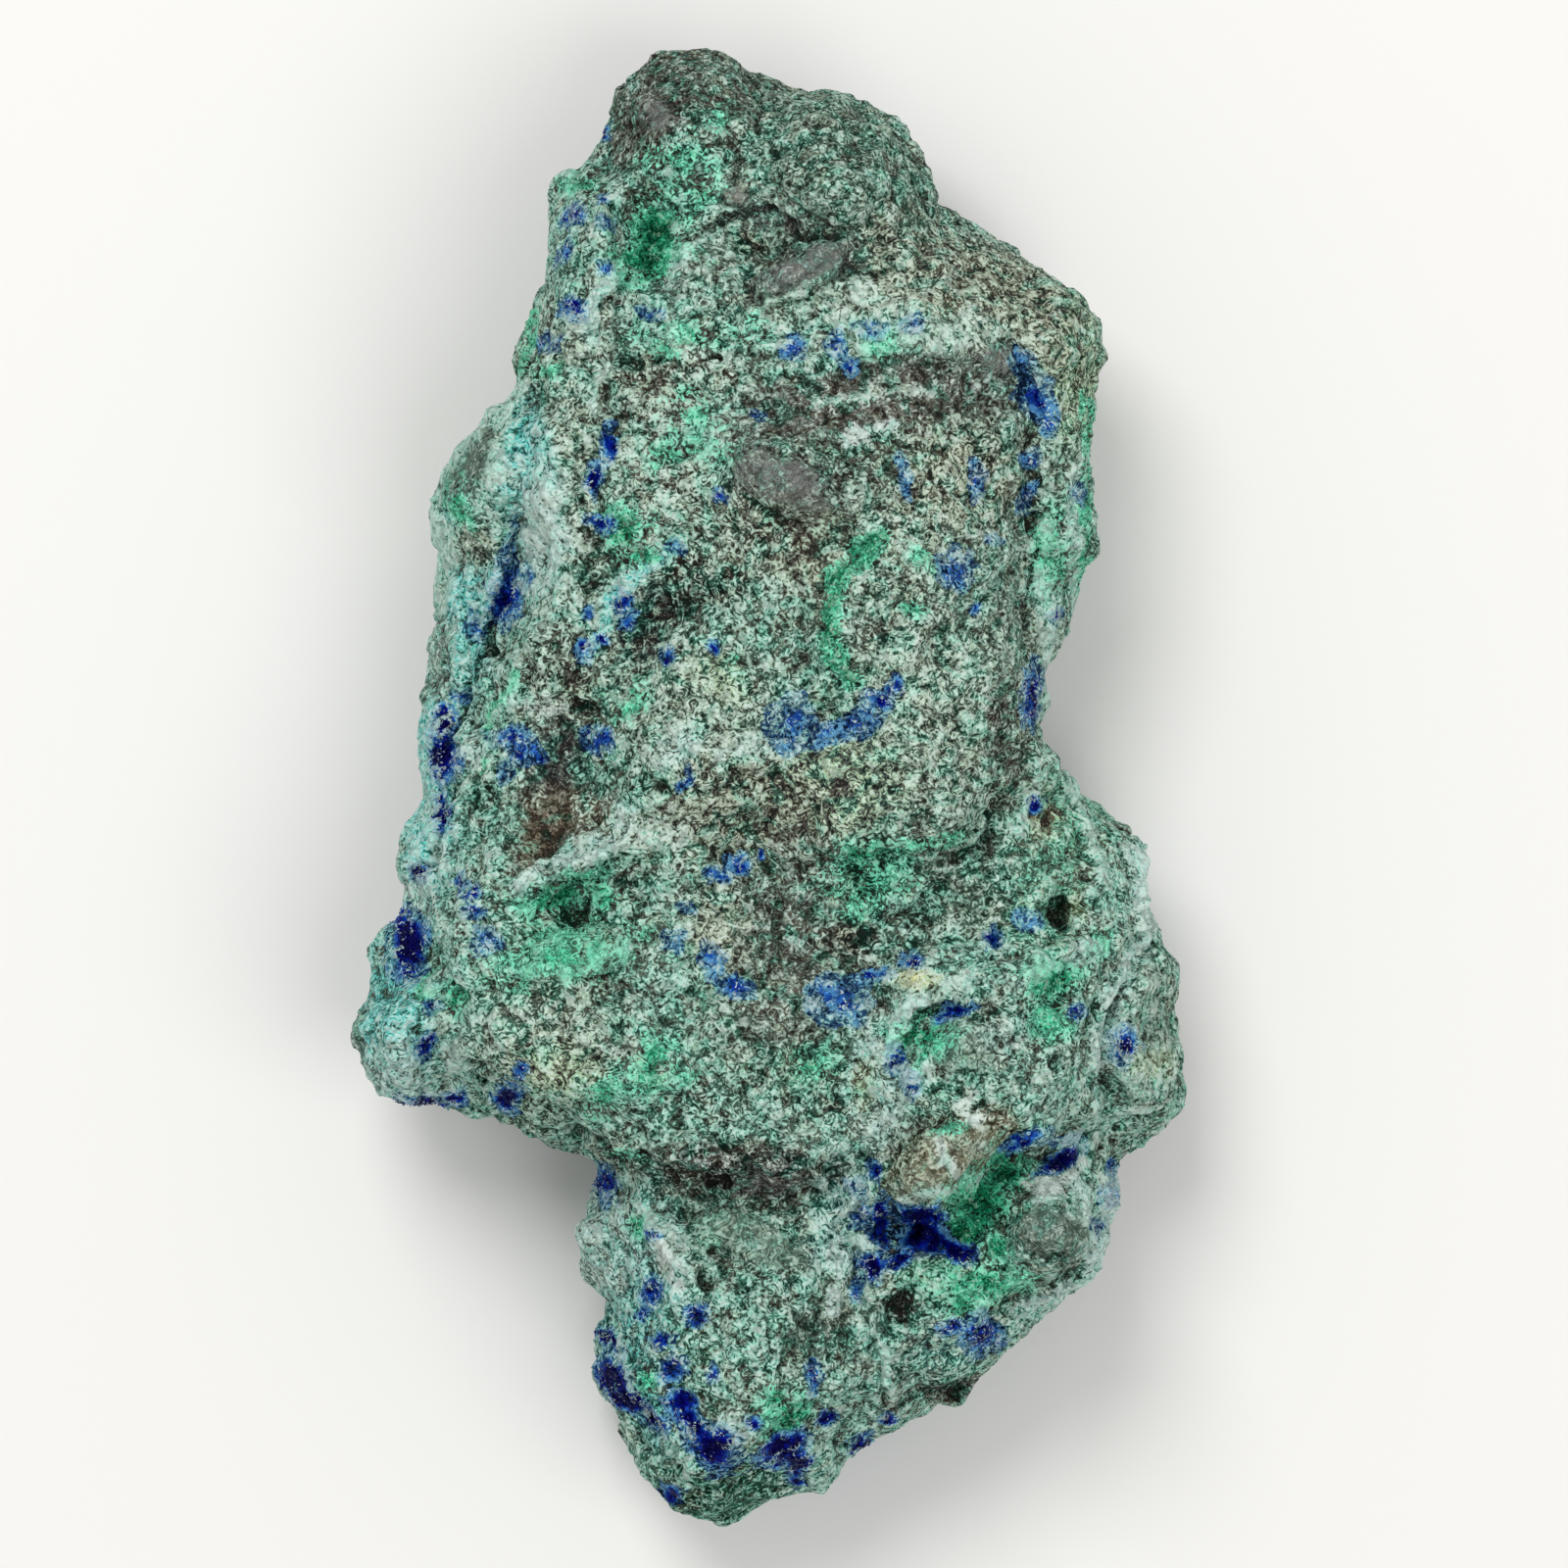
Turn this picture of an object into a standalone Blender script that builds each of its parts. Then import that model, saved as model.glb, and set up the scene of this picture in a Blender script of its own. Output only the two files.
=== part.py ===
"""An azurite specimen: one rough lump of copper ore, lying on its broken back.

The lump starts as a flat slab cut to the outline of the specimen. The slab is
remeshed into an even skin, sculpted into a front and a back, roughened, and
thinned to a few thousand faces. All dimensions below are in millimetres.
"""

import math

import bmesh
import bpy
import numpy as np
from mathutils import Vector, noise

MM = 0.001

# ---------------------------------------------------------------- dimensions

SPECIMEN_LENGTH = 120.6  # top knob to bottom tip, along Y

DOME_RISE = 16.0  # how far the middle of the front stands above its rim
DOME_REACH = 13.0  # distance from the outline at which the dome is full height
DOME_EDGE = 2.2  # 2 is a circular shoulder, more is squarer
RELIEF_REACH = 3.0  # distance from the outline at which the relief is full size
RELIEF_AT_RIM = 0.4  # share of the relief that is left at the outline

BACK_REACH = 9.0  # distance from the outline at which the back's edge has run out
BACK_EDGE = 1.6  # how quickly it runs out
FOOT_CUT = 1.1  # the back's lowest bumps are broken off level this far up
FOOT_FLAT = 0.08  # anything nearer than this to the resting plane lies in it

SIDE_DEPTH = 5.0  # how far in from the outline a side counts as a side
SIDE_WIDEST = 0.65  # the sides' widest level, as a share of the way from back to front
SIDE_TAPER = 7.0  # how fast the sides draw in below their widest level
SIDE_WANDER = 24.0  # over how long a stretch that level goes up and down
SIDE_HOLLOW = 4.0  # how far the sides are hollowed in, in patches
SIDE_PATCH = 13.0  # how big those patches are

WANDER = (7.0, 1.5)  # the marks of the front wander: over what size, and how far
WAVES = (11.0, 1.3)  # the roughness's waves: their size and height
BLOCKS = ((6.5, 0.8), (3.0, 0.5))  # its broken blocks: the same, for large and small
BEND = (7.0, 2.2)  # how the waves and blocks are bent: over what size, and how far
JOINT = 0.6  # how wide the joints between blocks are, as a share of a block

SLAB_THICKNESS = 10.0  # of the slab before it is sculpted
VOXEL = 0.9  # fineness of the skin while the lump is sculpted
FACES = 9600  # triangles of the finished solid

SEED = Vector((3.7, 8.1, 5.3))  # where the roughness is read in noise space
NOISE_SEED = 7  # the noise's own seed, which its vectors are drawn from

# The rim, at stations round the lump: x, y, and the heights above the resting
# plane at which the front and the back start there.
RIM = (
    (-6, 58, 15, 8), (9, 54, 16, 10), (18, 44, 19, 9), (28, 36, 18, 6), (26, 20, 17, 9),
    (23, 6, 21, 14), (30, -7, 14, 6), (33, -24, 12, 7), (27, -38, 18, 7), (17, -49, 15, 6),
    (8, -54, 14, 9), (-4, -60, 13, 8), (-13, -50, 13, 6), (-14, -38, 14, 9), (-15, -30, 15, 9),
    (-22, -27, 18, 12), (-34, -21, 16, 8), (-30, -8, 17, 10), (-27, 4, 15, 7), (-27, 20, 13, 6),
    (-20, 34, 18, 10), (-16, 48, 19, 11),
)

# The broken facets of the back: the way each one faces, in degrees from +X,
# its distance from the middle, and its slope in degrees.
BACK_FACETS = (
    (80, 37, 17), (20, 17, 15), (-25, 19, 21), (-70, 36, 14),
    (-115, 33, 19), (165, 15, 16), (195, 17, 24), (120, 30, 13),
)

# Outline seen from the front, in order round the lump, starting at the top.
OUTLINE = (
    (-7.8, 60.2), (-4.0, 60.0), (-2.0, 59.5), (-0.8, 57.9), (0.8, 56.9), (1.6, 56.3),
    (3.6, 56.8), (6.1, 56.7), (7.8, 56.1), (8.4, 55.0), (10.8, 54.6), (12.7, 52.4),
    (12.8, 51.3), (13.9, 50.2), (14.2, 48.6), (14.4, 46.5), (16.0, 46.1), (17.8, 44.4),
    (20.0, 43.7), (22.9, 41.6), (25.4, 40.5), (27.4, 37.9), (28.4, 34.5), (27.1, 32.5),
    (27.1, 29.5), (27.5, 26.0), (27.0, 23.0), (27.3, 18.2), (25.9, 16.9), (25.1, 14.1),
    (23.9, 11.5), (23.2, 8.0), (23.1, 5.3), (24.0, 3.2), (25.9, -0.3), (28.7, -2.7),
    (30.8, -5.3), (31.2, -6.6), (30.9, -8.6), (31.8, -11.3), (31.9, -12.7), (33.2, -13.2),
    (33.8, -15.2), (33.1, -17.5), (33.5, -20.5), (33.9, -24.0), (33.7, -27.2), (32.1, -28.4),
    (28.9, -30.0), (28.4, -31.2), (29.3, -33.0), (28.3, -35.0), (28.2, -37.5), (27.1, -39.9),
    (24.4, -42.6), (22.2, -44.1), (21.8, -45.4), (20.2, -45.5), (18.2, -48.3), (16.7, -48.7),
    (15.5, -50.2), (13.8, -50.3), (11.6, -52.6), (8.2, -54.4), (6.7, -56.2), (5.6, -58.2),
    (2.0, -57.9), (-0.9, -58.8), (-3.4, -60.4), (-5.9, -59.2), (-7.9, -58.3), (-10.1, -55.6),
    (-11.4, -52.4), (-13.6, -50.5), (-14.7, -48.7), (-14.2, -46.7), (-12.7, -43.4), (-14.3, -40.5),
    (-14.4, -38.0), (-15.6, -36.4), (-14.1, -34.3), (-13.6, -31.7), (-14.4, -30.3), (-17.3, -29.5),
    (-19.9, -28.4), (-20.7, -26.9), (-22.8, -28.2), (-24.1, -25.8), (-28.0, -26.0), (-30.6, -26.0),
    (-33.0, -23.7), (-34.0, -20.7), (-33.3, -17.7), (-31.4, -15.5), (-31.5, -12.8), (-29.5, -9.9),
    (-30.2, -7.2), (-29.3, -4.7), (-27.3, -1.7), (-27.9, 3.5), (-27.1, 5.7), (-27.4, 9.5),
    (-27.2, 14.0), (-26.9, 16.2), (-26.1, 18.4), (-26.6, 21.2), (-27.3, 23.0), (-25.3, 26.0),
    (-22.9, 29.1), (-20.4, 31.3), (-20.1, 35.0), (-19.5, 38.1), (-18.1, 40.8), (-17.7, 44.4),
    (-16.3, 48.2), (-15.5, 49.6), (-13.7, 49.9), (-13.5, 52.0), (-12.3, 55.3), (-11.0, 57.5),
    (-9.6, 58.2), (-8.9, 59.5),
)

# Humps and hollows of the front. Each has a name, its centre, its half-length and
# half-width, the turn of its length from +X in degrees, how far it stands proud
# (or, if negative, how deep it is), and how square its shoulder is.
HUMPS = (
    ("top knob", -5.6, 54.6, 5.4, 5.0, 0, 1.5, 1.8),
    ("top dome", 7.2, 50.6, 7.4, 5.8, -30, 5.2, 1.6),
    ("crease between knob and dome", 0.0, 55.4, 3.6, 1.2, 62, -2.6, 1.1),
    ("upper left block", -14.6, 43.0, 7.0, 3.4, 78, 5.0, 2.2),
    ("malachite pocket", -8.6, 43.6, 3.6, 2.0, 105, -3.6, 1.6),
    ("hollow under the top dome", 1.6, 44.6, 5.0, 1.6, 8, -2.2, 1.2),
    ("grey lens", 3.6, 41.5, 4.6, 1.7, 24, 2.6, 1.6),
    ("main plateau", 5.4, 19.0, 22.0, 14.0, 84, 4.4, 1.5),
    ("grey boss", 2.8, 24.6, 5.5, 2.8, -28, 2.4, 2.0),
    ("upper shoulder", 14.5, 37.0, 7.5, 3.2, -4, 2.6, 1.6),
    ("seam above the plateau", -4.5, 34.2, 6.0, 0.9, 5, -1.2, 1.2),
    ("right flange", 24.8, 27.5, 12.0, 2.2, 88, 1.8, 1.6),
    ("left terrace hollow", -21.6, 8.0, 12.0, 1.8, 78, -2.6, 1.4),
    ("left lobe", -23.6, 23.5, 5.2, 2.8, 62, 4.4, 1.8),
    ("dark block", -8.8, 13.4, 4.6, 2.8, 62, -1.0, 1.6),
    ("left cheek", -16.2, 11.5, 5.0, 2.4, 80, 1.8, 1.6),
    ("brown hollow", -17.0, -0.8, 6.2, 3.2, 68, -2.4, 1.6),
    ("pale boss", -6.0, 2.5, 8.4, 6.4, 62, 4.0, 1.5),
    ("curl of malachite", 6.6, 13.5, 5.0, 1.1, 72, 2.2, 1.4),
    ("blue dimple", 5.5, 6.0, 4.6, 2.8, 10, -1.4, 1.4),
    ("middle furrow", 1.4, -9.0, 7.5, 3.0, 98, -1.4, 1.2),
    ("hollow below the plateau", 7.8, -11.4, 4.2, 2.8, 15, -1.4, 1.5),
    ("crest above the cavity", -15.5, -6.4, 4.6, 1.2, 22, 3.8, 1.4),
    ("cavity", -15.2, -10.2, 1.7, 1.0, 10, -3.2, 1.6),
    ("malachite bank", -15.0, -13.6, 5.6, 2.0, 14, 3.0, 1.7),
    ("lower left shoulder", -15.0, -22.0, 7.8, 5.2, -35, 3.8, 2.0),
    ("middle of the lower half", -3.0, -20.5, 8.5, 5.5, 8, 1.6, 1.8),
    ("left lump", -29.4, -20.8, 5.4, 3.8, 74, 5.0, 1.4),
    ("left corner cavity", -22.6, -24.4, 2.0, 1.7, -30, -5.4, 1.6),
    ("lower right mass", 19.0, -20.5, 9.5, 7.4, 10, 6.2, 2.2),
    ("malachite pocket, right", 23.6, -17.2, 3.2, 1.8, 70, -3.8, 1.6),
    ("limonite hole", 24.0, -10.2, 1.4, 1.0, 60, -4.0, 1.6),
    ("ochre pit", 22.5, -2.6, 2.0, 1.3, 58, -3.0, 1.5),
    ("far right slab", 31.0, -20.5, 7.2, 2.4, 92, 3.6, 1.7),
    ("ochre boss", 13.4, -30.2, 4.8, 2.9, 25, 3.8, 1.8),
    ("azurite pocket", 13.2, -35.8, 4.0, 2.0, -16, -4.6, 1.5),
    ("azurite pocket, left arm", 9.4, -36.4, 3.6, 1.5, 70, -2.4, 1.5),
    ("malachite gully", 18.8, -32.4, 3.8, 1.7, 62, -3.6, 1.4),
    ("azurite slit", 23.6, -30.4, 3.2, 1.0, 20, -3.8, 1.5),
    ("grey lens, right", 23.6, -36.4, 5.0, 3.4, -32, 4.4, 1.8),
    ("shaded pit", 11.4, -41.8, 1.8, 1.4, 0, -1.5, 1.4),
    ("pale mound", 8.2, -46.8, 3.8, 3.2, 50, 3.0, 1.7),
    ("small round pit", -4.3, -39.2, 1.2, 1.1, 0, -3.0, 1.5),
    ("bottom block", -3.5, -47.5, 10.0, 7.2, 80, 3.6, 2.2),
    ("pale rib", -8.2, -36.4, 4.6, 1.0, -48, 3.0, 1.4),
    ("fold at the tip", -9.2, -51.0, 7.5, 1.0, -62, 3.0, 1.4),
    ("furrow at the tip", -7.4, -48.3, 7.0, 1.0, -62, -3.0, 1.3),
)

# Ledges: name, middle of the lip, half-length of the lip, how far the raised
# side runs back, the turn of the lip in degrees (the raised side is to its
# left), and the drop.
LEDGES = (
    ("great ledge", -3.6, -30.2, 9.0, 9.0, -8, 5.2),
    ("plateau foot", 11.5, -5.0, 6.0, 8.0, 3, 3.0),
    ("rib of the lower right", 24.8, -14.0, 3.8, 4.0, 24, 3.4),
    ("ochre lip", 13.5, -33.6, 4.8, 4.0, 8, 4.6),
    ("upper left step", -10.5, 49.4, 5.0, 3.0, 186, 2.4),
    ("left terrace step", -18.4, 24.0, 10.0, 5.0, 262, 4.4),
    ("right lobe shoulder", 25.5, -28.6, 7.5, 5.0, 16, 4.2),
    ("top of the body", 8.0, 45.4, 7.0, 5.0, 168, -1.4),
    ("shelf of the upper left", -16.0, 33.0, 4.5, 3.5, 38, 3.0),
    ("terrace of the lower left", -24.4, -10.0, 7.0, 4.0, 256, 3.6),
)
LIP_WIDTH = 0.8  # run over which a ledge drops
OVERHANG = 1.4  # how far the great ledge leans out over what is below it
OVERHANG_REACH = 2.2  # how far to either side of the lip the lean is felt

# Long clefts: name, depth, half-width, and the points that the cleft runs through.
CLEFTS = (
    ("right cleft", 3.0, 1.0, ((20.0, 35.6), (22.2, 31.0), (20.8, 26.4), (21.3, 22.6), (22.6, 19.0),
                               (21.4, 13.6), (21.9, 8.6), (22.4, 4.8))),
    ("left azurite cleft", 2.8, 1.3, ((-19.8, 21.0), (-20.6, 14.5), (-23.6, 10.0), (-25.0, 5.5),
                                      (-25.8, 1.0), (-26.2, -4.0), (-27.6, -7.4))),
    ("left lump groove", 6.0, 1.1, ((-28.6, -10.0), (-27.8, -13.0), (-26.4, -17.0), (-26.2, -22.0),
                                    (-25.6, -26.0))),
    ("left vein", 1.0, 0.9, ((-11.8, 29.0), (-13.2, 24.0), (-13.0, 20.0), (-14.8, 14.0),
                             (-14.2, 8.0), (-13.0, 1.0))),
    ("slope crease", 2.0, 0.9, ((10.8, -11.6), (15.0, -8.0), (19.2, -4.2), (21.0, 0.0))),
    ("azurite crease", 3.0, 0.9, ((10.4, -22.6), (12.8, -18.4), (17.6, -16.8))),
    ("far right groove", 4.0, 1.0, ((31.4, -12.6), (29.0, -15.6), (27.5, -19.2), (27.4, -24.0),
                                    (29.0, -28.6))),
    ("rim crease", 3.2, 0.8, ((19.4, -43.8), (21.0, -41.6), (25.2, -41.0))),
    ("lower parting", 3.2, 1.0, ((5.6, -31.0), (6.6, -36.0), (7.2, -40.0), (6.0, -44.0),
                                 (9.0, -49.5))),
    ("shelf crack", 0.8, 0.8, ((-8.0, 28.0), (-4.0, 28.4), (1.0, 30.6), (9.0, 32.6), (15.0, 32.0))),
    ("band above the ledge", 1.4, 0.8, ((-17.0, -26.4), (-9.0, -26.0), (-2.0, -23.6), (5.0, -25.4))),
)

# ------------------------------------------------------------------- helpers


def read_points(mesh):
    """The mesh's points as an array, in millimetres."""
    points = np.empty(len(mesh.vertices) * 3)
    mesh.vertices.foreach_get("co", points)
    return points.reshape(-1, 3) / MM


def write_points(mesh, points):
    mesh.vertices.foreach_set("co", (points * MM).ravel())
    mesh.update()


def read_normals(mesh):
    normals = np.empty(len(mesh.vertices) * 3)
    mesh.vertex_normals.foreach_get("vector", normals)
    return normals.reshape(-1, 3)


def put_in_order(mesh):
    """Lists the mesh's points and faces in an order that depends only on where they are."""
    points = read_points(mesh)
    order = np.lexsort(points.T)
    rank = np.empty(len(points), dtype=int)
    rank[order] = np.arange(len(points))
    rings = [rank[list(face.vertices)] for face in mesh.polygons]
    rings = sorted(np.roll(ring, -ring.argmin()).tolist() for ring in rings)
    mesh.clear_geometry()
    mesh.from_pydata(points[order] * MM, [], rings)


def apply_modifiers(lump):
    """Swaps the object's mesh for the one that its modifiers make."""
    graph = bpy.context.evaluated_depsgraph_get()
    made = bpy.data.meshes.new_from_object(lump.evaluated_get(graph))
    lump.modifiers.clear()
    lump.data = made


def smoothstep(value):
    value = np.clip(value, 0.0, 1.0)
    return value * value * (3.0 - 2.0 * value)


def distance_to_line(xy, line, closed=False):
    """Distance of each point of xy from a line through several points."""
    ends = list(line[1:]) + ([line[0]] if closed else [])
    nearest = np.full(len(xy), 1e9)
    for start, end in zip(line, ends):
        start, end = np.array(start), np.array(end)
        along = end - start
        share = np.clip((xy - start) @ along / (along @ along), 0.0, 1.0)
        gap = xy - (start + share[:, None] * along)
        nearest = np.minimum(nearest, np.hypot(gap[:, 0], gap[:, 1]))
    return nearest


def turned(xy, x, y, turn):
    """The points of xy in a frame centred at x, y and turned by turn degrees."""
    cos, sin = math.cos(math.radians(turn)), math.sin(math.radians(turn))
    dx, dy = xy[:, 0] - x, xy[:, 1] - y
    return dx * cos + dy * sin, -dx * sin + dy * cos


# ---------------------------------------------------------------- the relief


def hump(xy, x, y, length, width, turn, rise, edge):
    along, across = turned(xy, x, y, turn)
    return rise * np.exp(-(((along / length) ** 2 + (across / width) ** 2) ** edge))


def ledge(xy, x, y, length, back, turn, drop):
    """Rises sharply at the lip and slopes away behind it."""
    along, across = turned(xy, x, y, turn)
    lip = smoothstep(across / LIP_WIDTH + 0.5)
    behind = np.exp(-np.maximum(across, 0.0) / back)
    return drop * lip * behind * np.exp(-((along / length) ** 4))


def cleft(xy, depth, width, line):
    return -depth * np.exp(-((distance_to_line(xy, line) / width) ** 2))


def rim_heights(xy):
    """Heights at which the front and the back start, blended between the stations."""
    stations = np.array(RIM, dtype=float)
    gaps = np.hypot(xy[:, :1] - stations[:, 0], xy[:, 1:] - stations[:, 1])
    weights = 1.0 / (gaps + 1.0) ** 3
    return (weights @ stations[:, 2:] / weights.sum(axis=1, keepdims=True)).T


def wandering(xy):
    """The points of xy shifted a little by noise, so that no mark runs straight."""
    size, reach = WANDER
    shifts = [noise.noise_vector(Vector((x, y, 0.0)) / size + SEED) for x, y in xy]
    return xy + reach * np.array(shifts)[:, :2]


def front_height(xy, inset, rim):
    """Height of the front above the resting plane, inset being the distance to the outline."""
    share = np.clip(inset / DOME_REACH, 0.0, 1.0)
    dome = (1.0 - (1.0 - share) ** DOME_EDGE) ** (1.0 / DOME_EDGE)
    relief = np.zeros(len(xy))
    xy = wandering(xy)
    for _, *shape in HUMPS:
        relief += hump(xy, *shape)
    for _, *shape in LEDGES:
        relief += ledge(xy, *shape)
    for _, depth, width, line in CLEFTS:
        relief += cleft(xy, depth, width, line)
    fade = RELIEF_AT_RIM + (1.0 - RELIEF_AT_RIM) * smoothstep(inset / RELIEF_REACH)
    return rim + DOME_RISE * dome + relief * fade


def back_height(xy, inset, rim):
    """Height of the back: level in the middle, with broken facets rising round it."""
    height = rim * np.clip(1.0 - inset / BACK_REACH, 0.0, 1.0) ** BACK_EDGE
    for facing, distance, slope in BACK_FACETS:
        along, _ = turned(xy, 0.0, 0.0, facing)
        height = np.maximum(height, (along - distance) * math.tan(math.radians(slope)))
    return np.minimum(height, rim)


def lean_ledge(points):
    """Pushes the great ledge's lip out, and the wall below it in."""
    _, x, y, length, _, turn, drop = LEDGES[0]
    along, across = turned(points[:, :2], x, y, turn)
    near = np.exp(-((along / length) ** 4) - (across / OVERHANG_REACH) ** 2)
    level = (points[:, 2] - points[:, 2][near > 0.5].mean()) / drop
    points[:, 1] -= OVERHANG * near * np.clip(2.0 * level, -1.0, 1.0)


# ------------------------------------------------------------- the roughness


def crag(place, size):
    """Blocky broken surface: cells of the given size, low along their joints."""
    near = noise.voronoi(place / size)[0]
    return min(near[1] - near[0], JOINT) / JOINT - 0.5


def roughness(place):
    """How far the skin stands proud at a place in millimetres."""
    bend_size, bend_reach = BEND
    bent = place + bend_reach * noise.noise_vector(place / bend_size + SEED)
    wave_size, wave_height = WAVES
    height = wave_height * noise.fractal(bent / wave_size + SEED, 0.9, 2.1, 4)
    for size, block_height in BLOCKS:
        height += block_height * crag(bent + SEED * size, size)
    return height


def roughen(mesh):
    points, normals = read_points(mesh), read_normals(mesh)
    steps = np.array([roughness(Vector(point)) for point in points])
    write_points(mesh, points + normals * steps[:, None])


# ------------------------------------------------------------------ the lump


def add_slab():
    """A slab of the outline's shape, standing on the resting plane."""
    bm = bmesh.new()
    corners = [bm.verts.new((x * MM, y * MM, 0.0)) for x, y in OUTLINE]
    face = bm.faces.new(corners)
    top = bmesh.ops.extrude_face_region(bm, geom=[face])["geom"]
    raised = [item for item in top if isinstance(item, bmesh.types.BMVert)]
    bmesh.ops.translate(bm, verts=raised, vec=(0.0, 0.0, SLAB_THICKNESS * MM))
    bmesh.ops.recalc_face_normals(bm, faces=bm.faces[:])
    mesh = bpy.data.meshes.new("azurite_specimen")
    bm.to_mesh(mesh)
    bm.free()
    put_in_order(mesh)
    slab = bpy.data.objects.new("azurite_specimen", mesh)
    bpy.context.scene.collection.objects.link(slab)
    return slab


def even_skin(lump):
    remesh = lump.modifiers.new("Even skin", "REMESH")
    remesh.mode = "VOXEL"
    remesh.voxel_size = VOXEL * MM
    apply_modifiers(lump)
    put_in_order(lump.data)


def draw_in_sides(points, share):
    """Draws the sides in, unevenly, below the wandering level at which they are widest.

    share is the points' place between the back, 0, and the front, 1.
    """
    places = [Vector(point) for point in points]
    patches = np.array([noise.noise(place / SIDE_PATCH - SEED) for place in places])
    flat = [place.xy.to_3d() / SIDE_WANDER for place in places]
    widest = SIDE_WIDEST + np.array([noise.noise(place + SEED) for place in flat]) / 2.0
    below = np.clip(widest - share, 0.0, 1.0)
    inset = distance_to_line(points[:, :2], OUTLINE, closed=True)
    hollow = SIDE_HOLLOW * np.clip(2.0 * patches, 0.0, 1.0) * smoothstep(5.0 * below)
    inward = np.exp(-((inset / SIDE_DEPTH) ** 2)) * (hollow + SIDE_TAPER * below**2)
    radius = np.hypot(points[:, 0], points[:, 1])
    points[:, :2] *= (1.0 - inward / np.maximum(radius, 1.0))[:, None]


def sculpt(mesh):
    """Stretches the slab between the back and the front of the specimen."""
    points = read_points(mesh)
    xy = points[:, :2].copy()
    inset = distance_to_line(xy, OUTLINE, closed=True)
    share = np.clip(points[:, 2] / SLAB_THICKNESS, 0.0, 1.0)
    front_rim, back_rim = rim_heights(xy)
    front, back = front_height(xy, inset, front_rim), back_height(xy, inset, back_rim)
    points[:, 2] = back + share * (front - back)
    lean_ledge(points)
    draw_in_sides(points, share)
    write_points(mesh, points)


def break_foot(mesh):
    """Levels the lowest bumps, so that the lump rests flat, and puts them at zero."""
    points = read_points(mesh)
    points[:, 2] = np.maximum(points[:, 2] - FOOT_CUT, 0.0)
    write_points(mesh, points)


def thin_out(lump):
    decimate = lump.modifiers.new("Thin out", "DECIMATE")
    decimate.ratio = FACES / sum(len(face.vertices) - 2 for face in lump.data.polygons)
    apply_modifiers(lump)


def settle(mesh):
    """Centres the lump over the origin at its full length, its foot exactly level."""
    points = read_points(mesh)
    low, high = points.min(axis=0), points.max(axis=0)
    points[:, :2] -= (low[:2] + high[:2]) / 2.0
    points *= SPECIMEN_LENGTH / (high[1] - low[1])
    points[points[:, 2] < FOOT_FLAT, 2] = 0.0
    write_points(mesh, points)


def azurite_stone():
    material = bpy.data.materials.new("azurite_stone")
    material.use_nodes = True
    shader = material.node_tree.nodes["Principled BSDF"]
    shader.inputs["Base Color"].default_value = (0.19, 0.33, 0.26, 1.0)
    shader.inputs["Roughness"].default_value = 0.85
    shader.inputs["Metallic"].default_value = 0.0
    return material


def main():
    for item in list(bpy.data.objects):
        bpy.data.objects.remove(item)
    noise.seed_set(NOISE_SEED)
    lump = add_slab()
    even_skin(lump)
    sculpt(lump.data)
    even_skin(lump)
    roughen(lump.data)
    break_foot(lump.data)
    thin_out(lump)
    settle(lump.data)
    lump.data.materials.clear()
    lump.data.materials.append(azurite_stone())


main()
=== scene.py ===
# %% [markdown]
# # An azurite specimen, in cells
#
# The real object is one lump of copper ore. Its matrix is brown and grey rock, and three
# copper minerals grow over it: azurite in deep blue patches, malachite in green ones, and a
# pale mint crust of fine grains nearly everywhere else. Nothing on it moves, so every piece
# below rides on the one body, "root".
#
# The work goes from large to small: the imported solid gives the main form, a finer skin takes
# the ledges, cracks and pits, then the minerals are painted on as soft masks, and the crystals
# that stand on the skin are grown as real geometry.

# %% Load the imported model
import math

import bpy
import numpy as np
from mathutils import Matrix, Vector


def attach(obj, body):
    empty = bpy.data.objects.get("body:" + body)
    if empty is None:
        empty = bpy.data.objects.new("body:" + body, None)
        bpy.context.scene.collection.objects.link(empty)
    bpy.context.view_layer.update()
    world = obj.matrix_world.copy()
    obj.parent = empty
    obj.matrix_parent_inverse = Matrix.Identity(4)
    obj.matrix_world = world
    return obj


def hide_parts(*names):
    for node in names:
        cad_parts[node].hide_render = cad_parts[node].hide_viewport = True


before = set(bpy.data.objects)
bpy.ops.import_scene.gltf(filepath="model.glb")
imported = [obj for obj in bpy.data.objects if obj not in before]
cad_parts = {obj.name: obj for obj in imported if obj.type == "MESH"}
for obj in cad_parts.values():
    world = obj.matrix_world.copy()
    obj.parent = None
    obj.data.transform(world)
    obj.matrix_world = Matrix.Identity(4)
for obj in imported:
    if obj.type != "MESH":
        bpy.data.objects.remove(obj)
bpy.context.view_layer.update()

MM = 0.001
NODE = "azurite_specimen"

# %% [markdown]
# ## Where things are
#
# Every place on the stone is given in millimetres on a drawing of its front: x to the right,
# y towards the top knob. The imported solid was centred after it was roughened, so the drawing's
# middle lies a little to one side of the solid's.

# %% Places on the drawing
DRAWING_MIDDLE = (0.52, 0.06)


def on_drawing(points):
    """x and y of the points, in metres, as millimetres on the drawing."""
    return points[:, :2] / MM + DRAWING_MIDDLE


# %% [markdown]
# ## Picking things up
#
# Most operators act on whatever is selected, and loading leaves the solids selected. So each
# step starts by picking up the one piece that it is about.

# %% Pick up one piece, and apply a modifier to it
def pick_up(piece):
    bpy.ops.object.select_all(action="DESELECT")
    piece.select_set(True)
    bpy.context.view_layer.objects.active = piece


def use(piece, kind, **settings):
    """Adds a modifier with the settings given, and applies it."""
    pick_up(piece)
    modifier = piece.modifiers.new(kind.title(), kind)
    for name, value in settings.items():
        setattr(modifier, name, value)
    bpy.ops.object.modifier_apply(modifier=modifier.name)


def triangles(piece):
    return sum(len(face.vertices) - 2 for face in piece.data.polygons)


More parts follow.
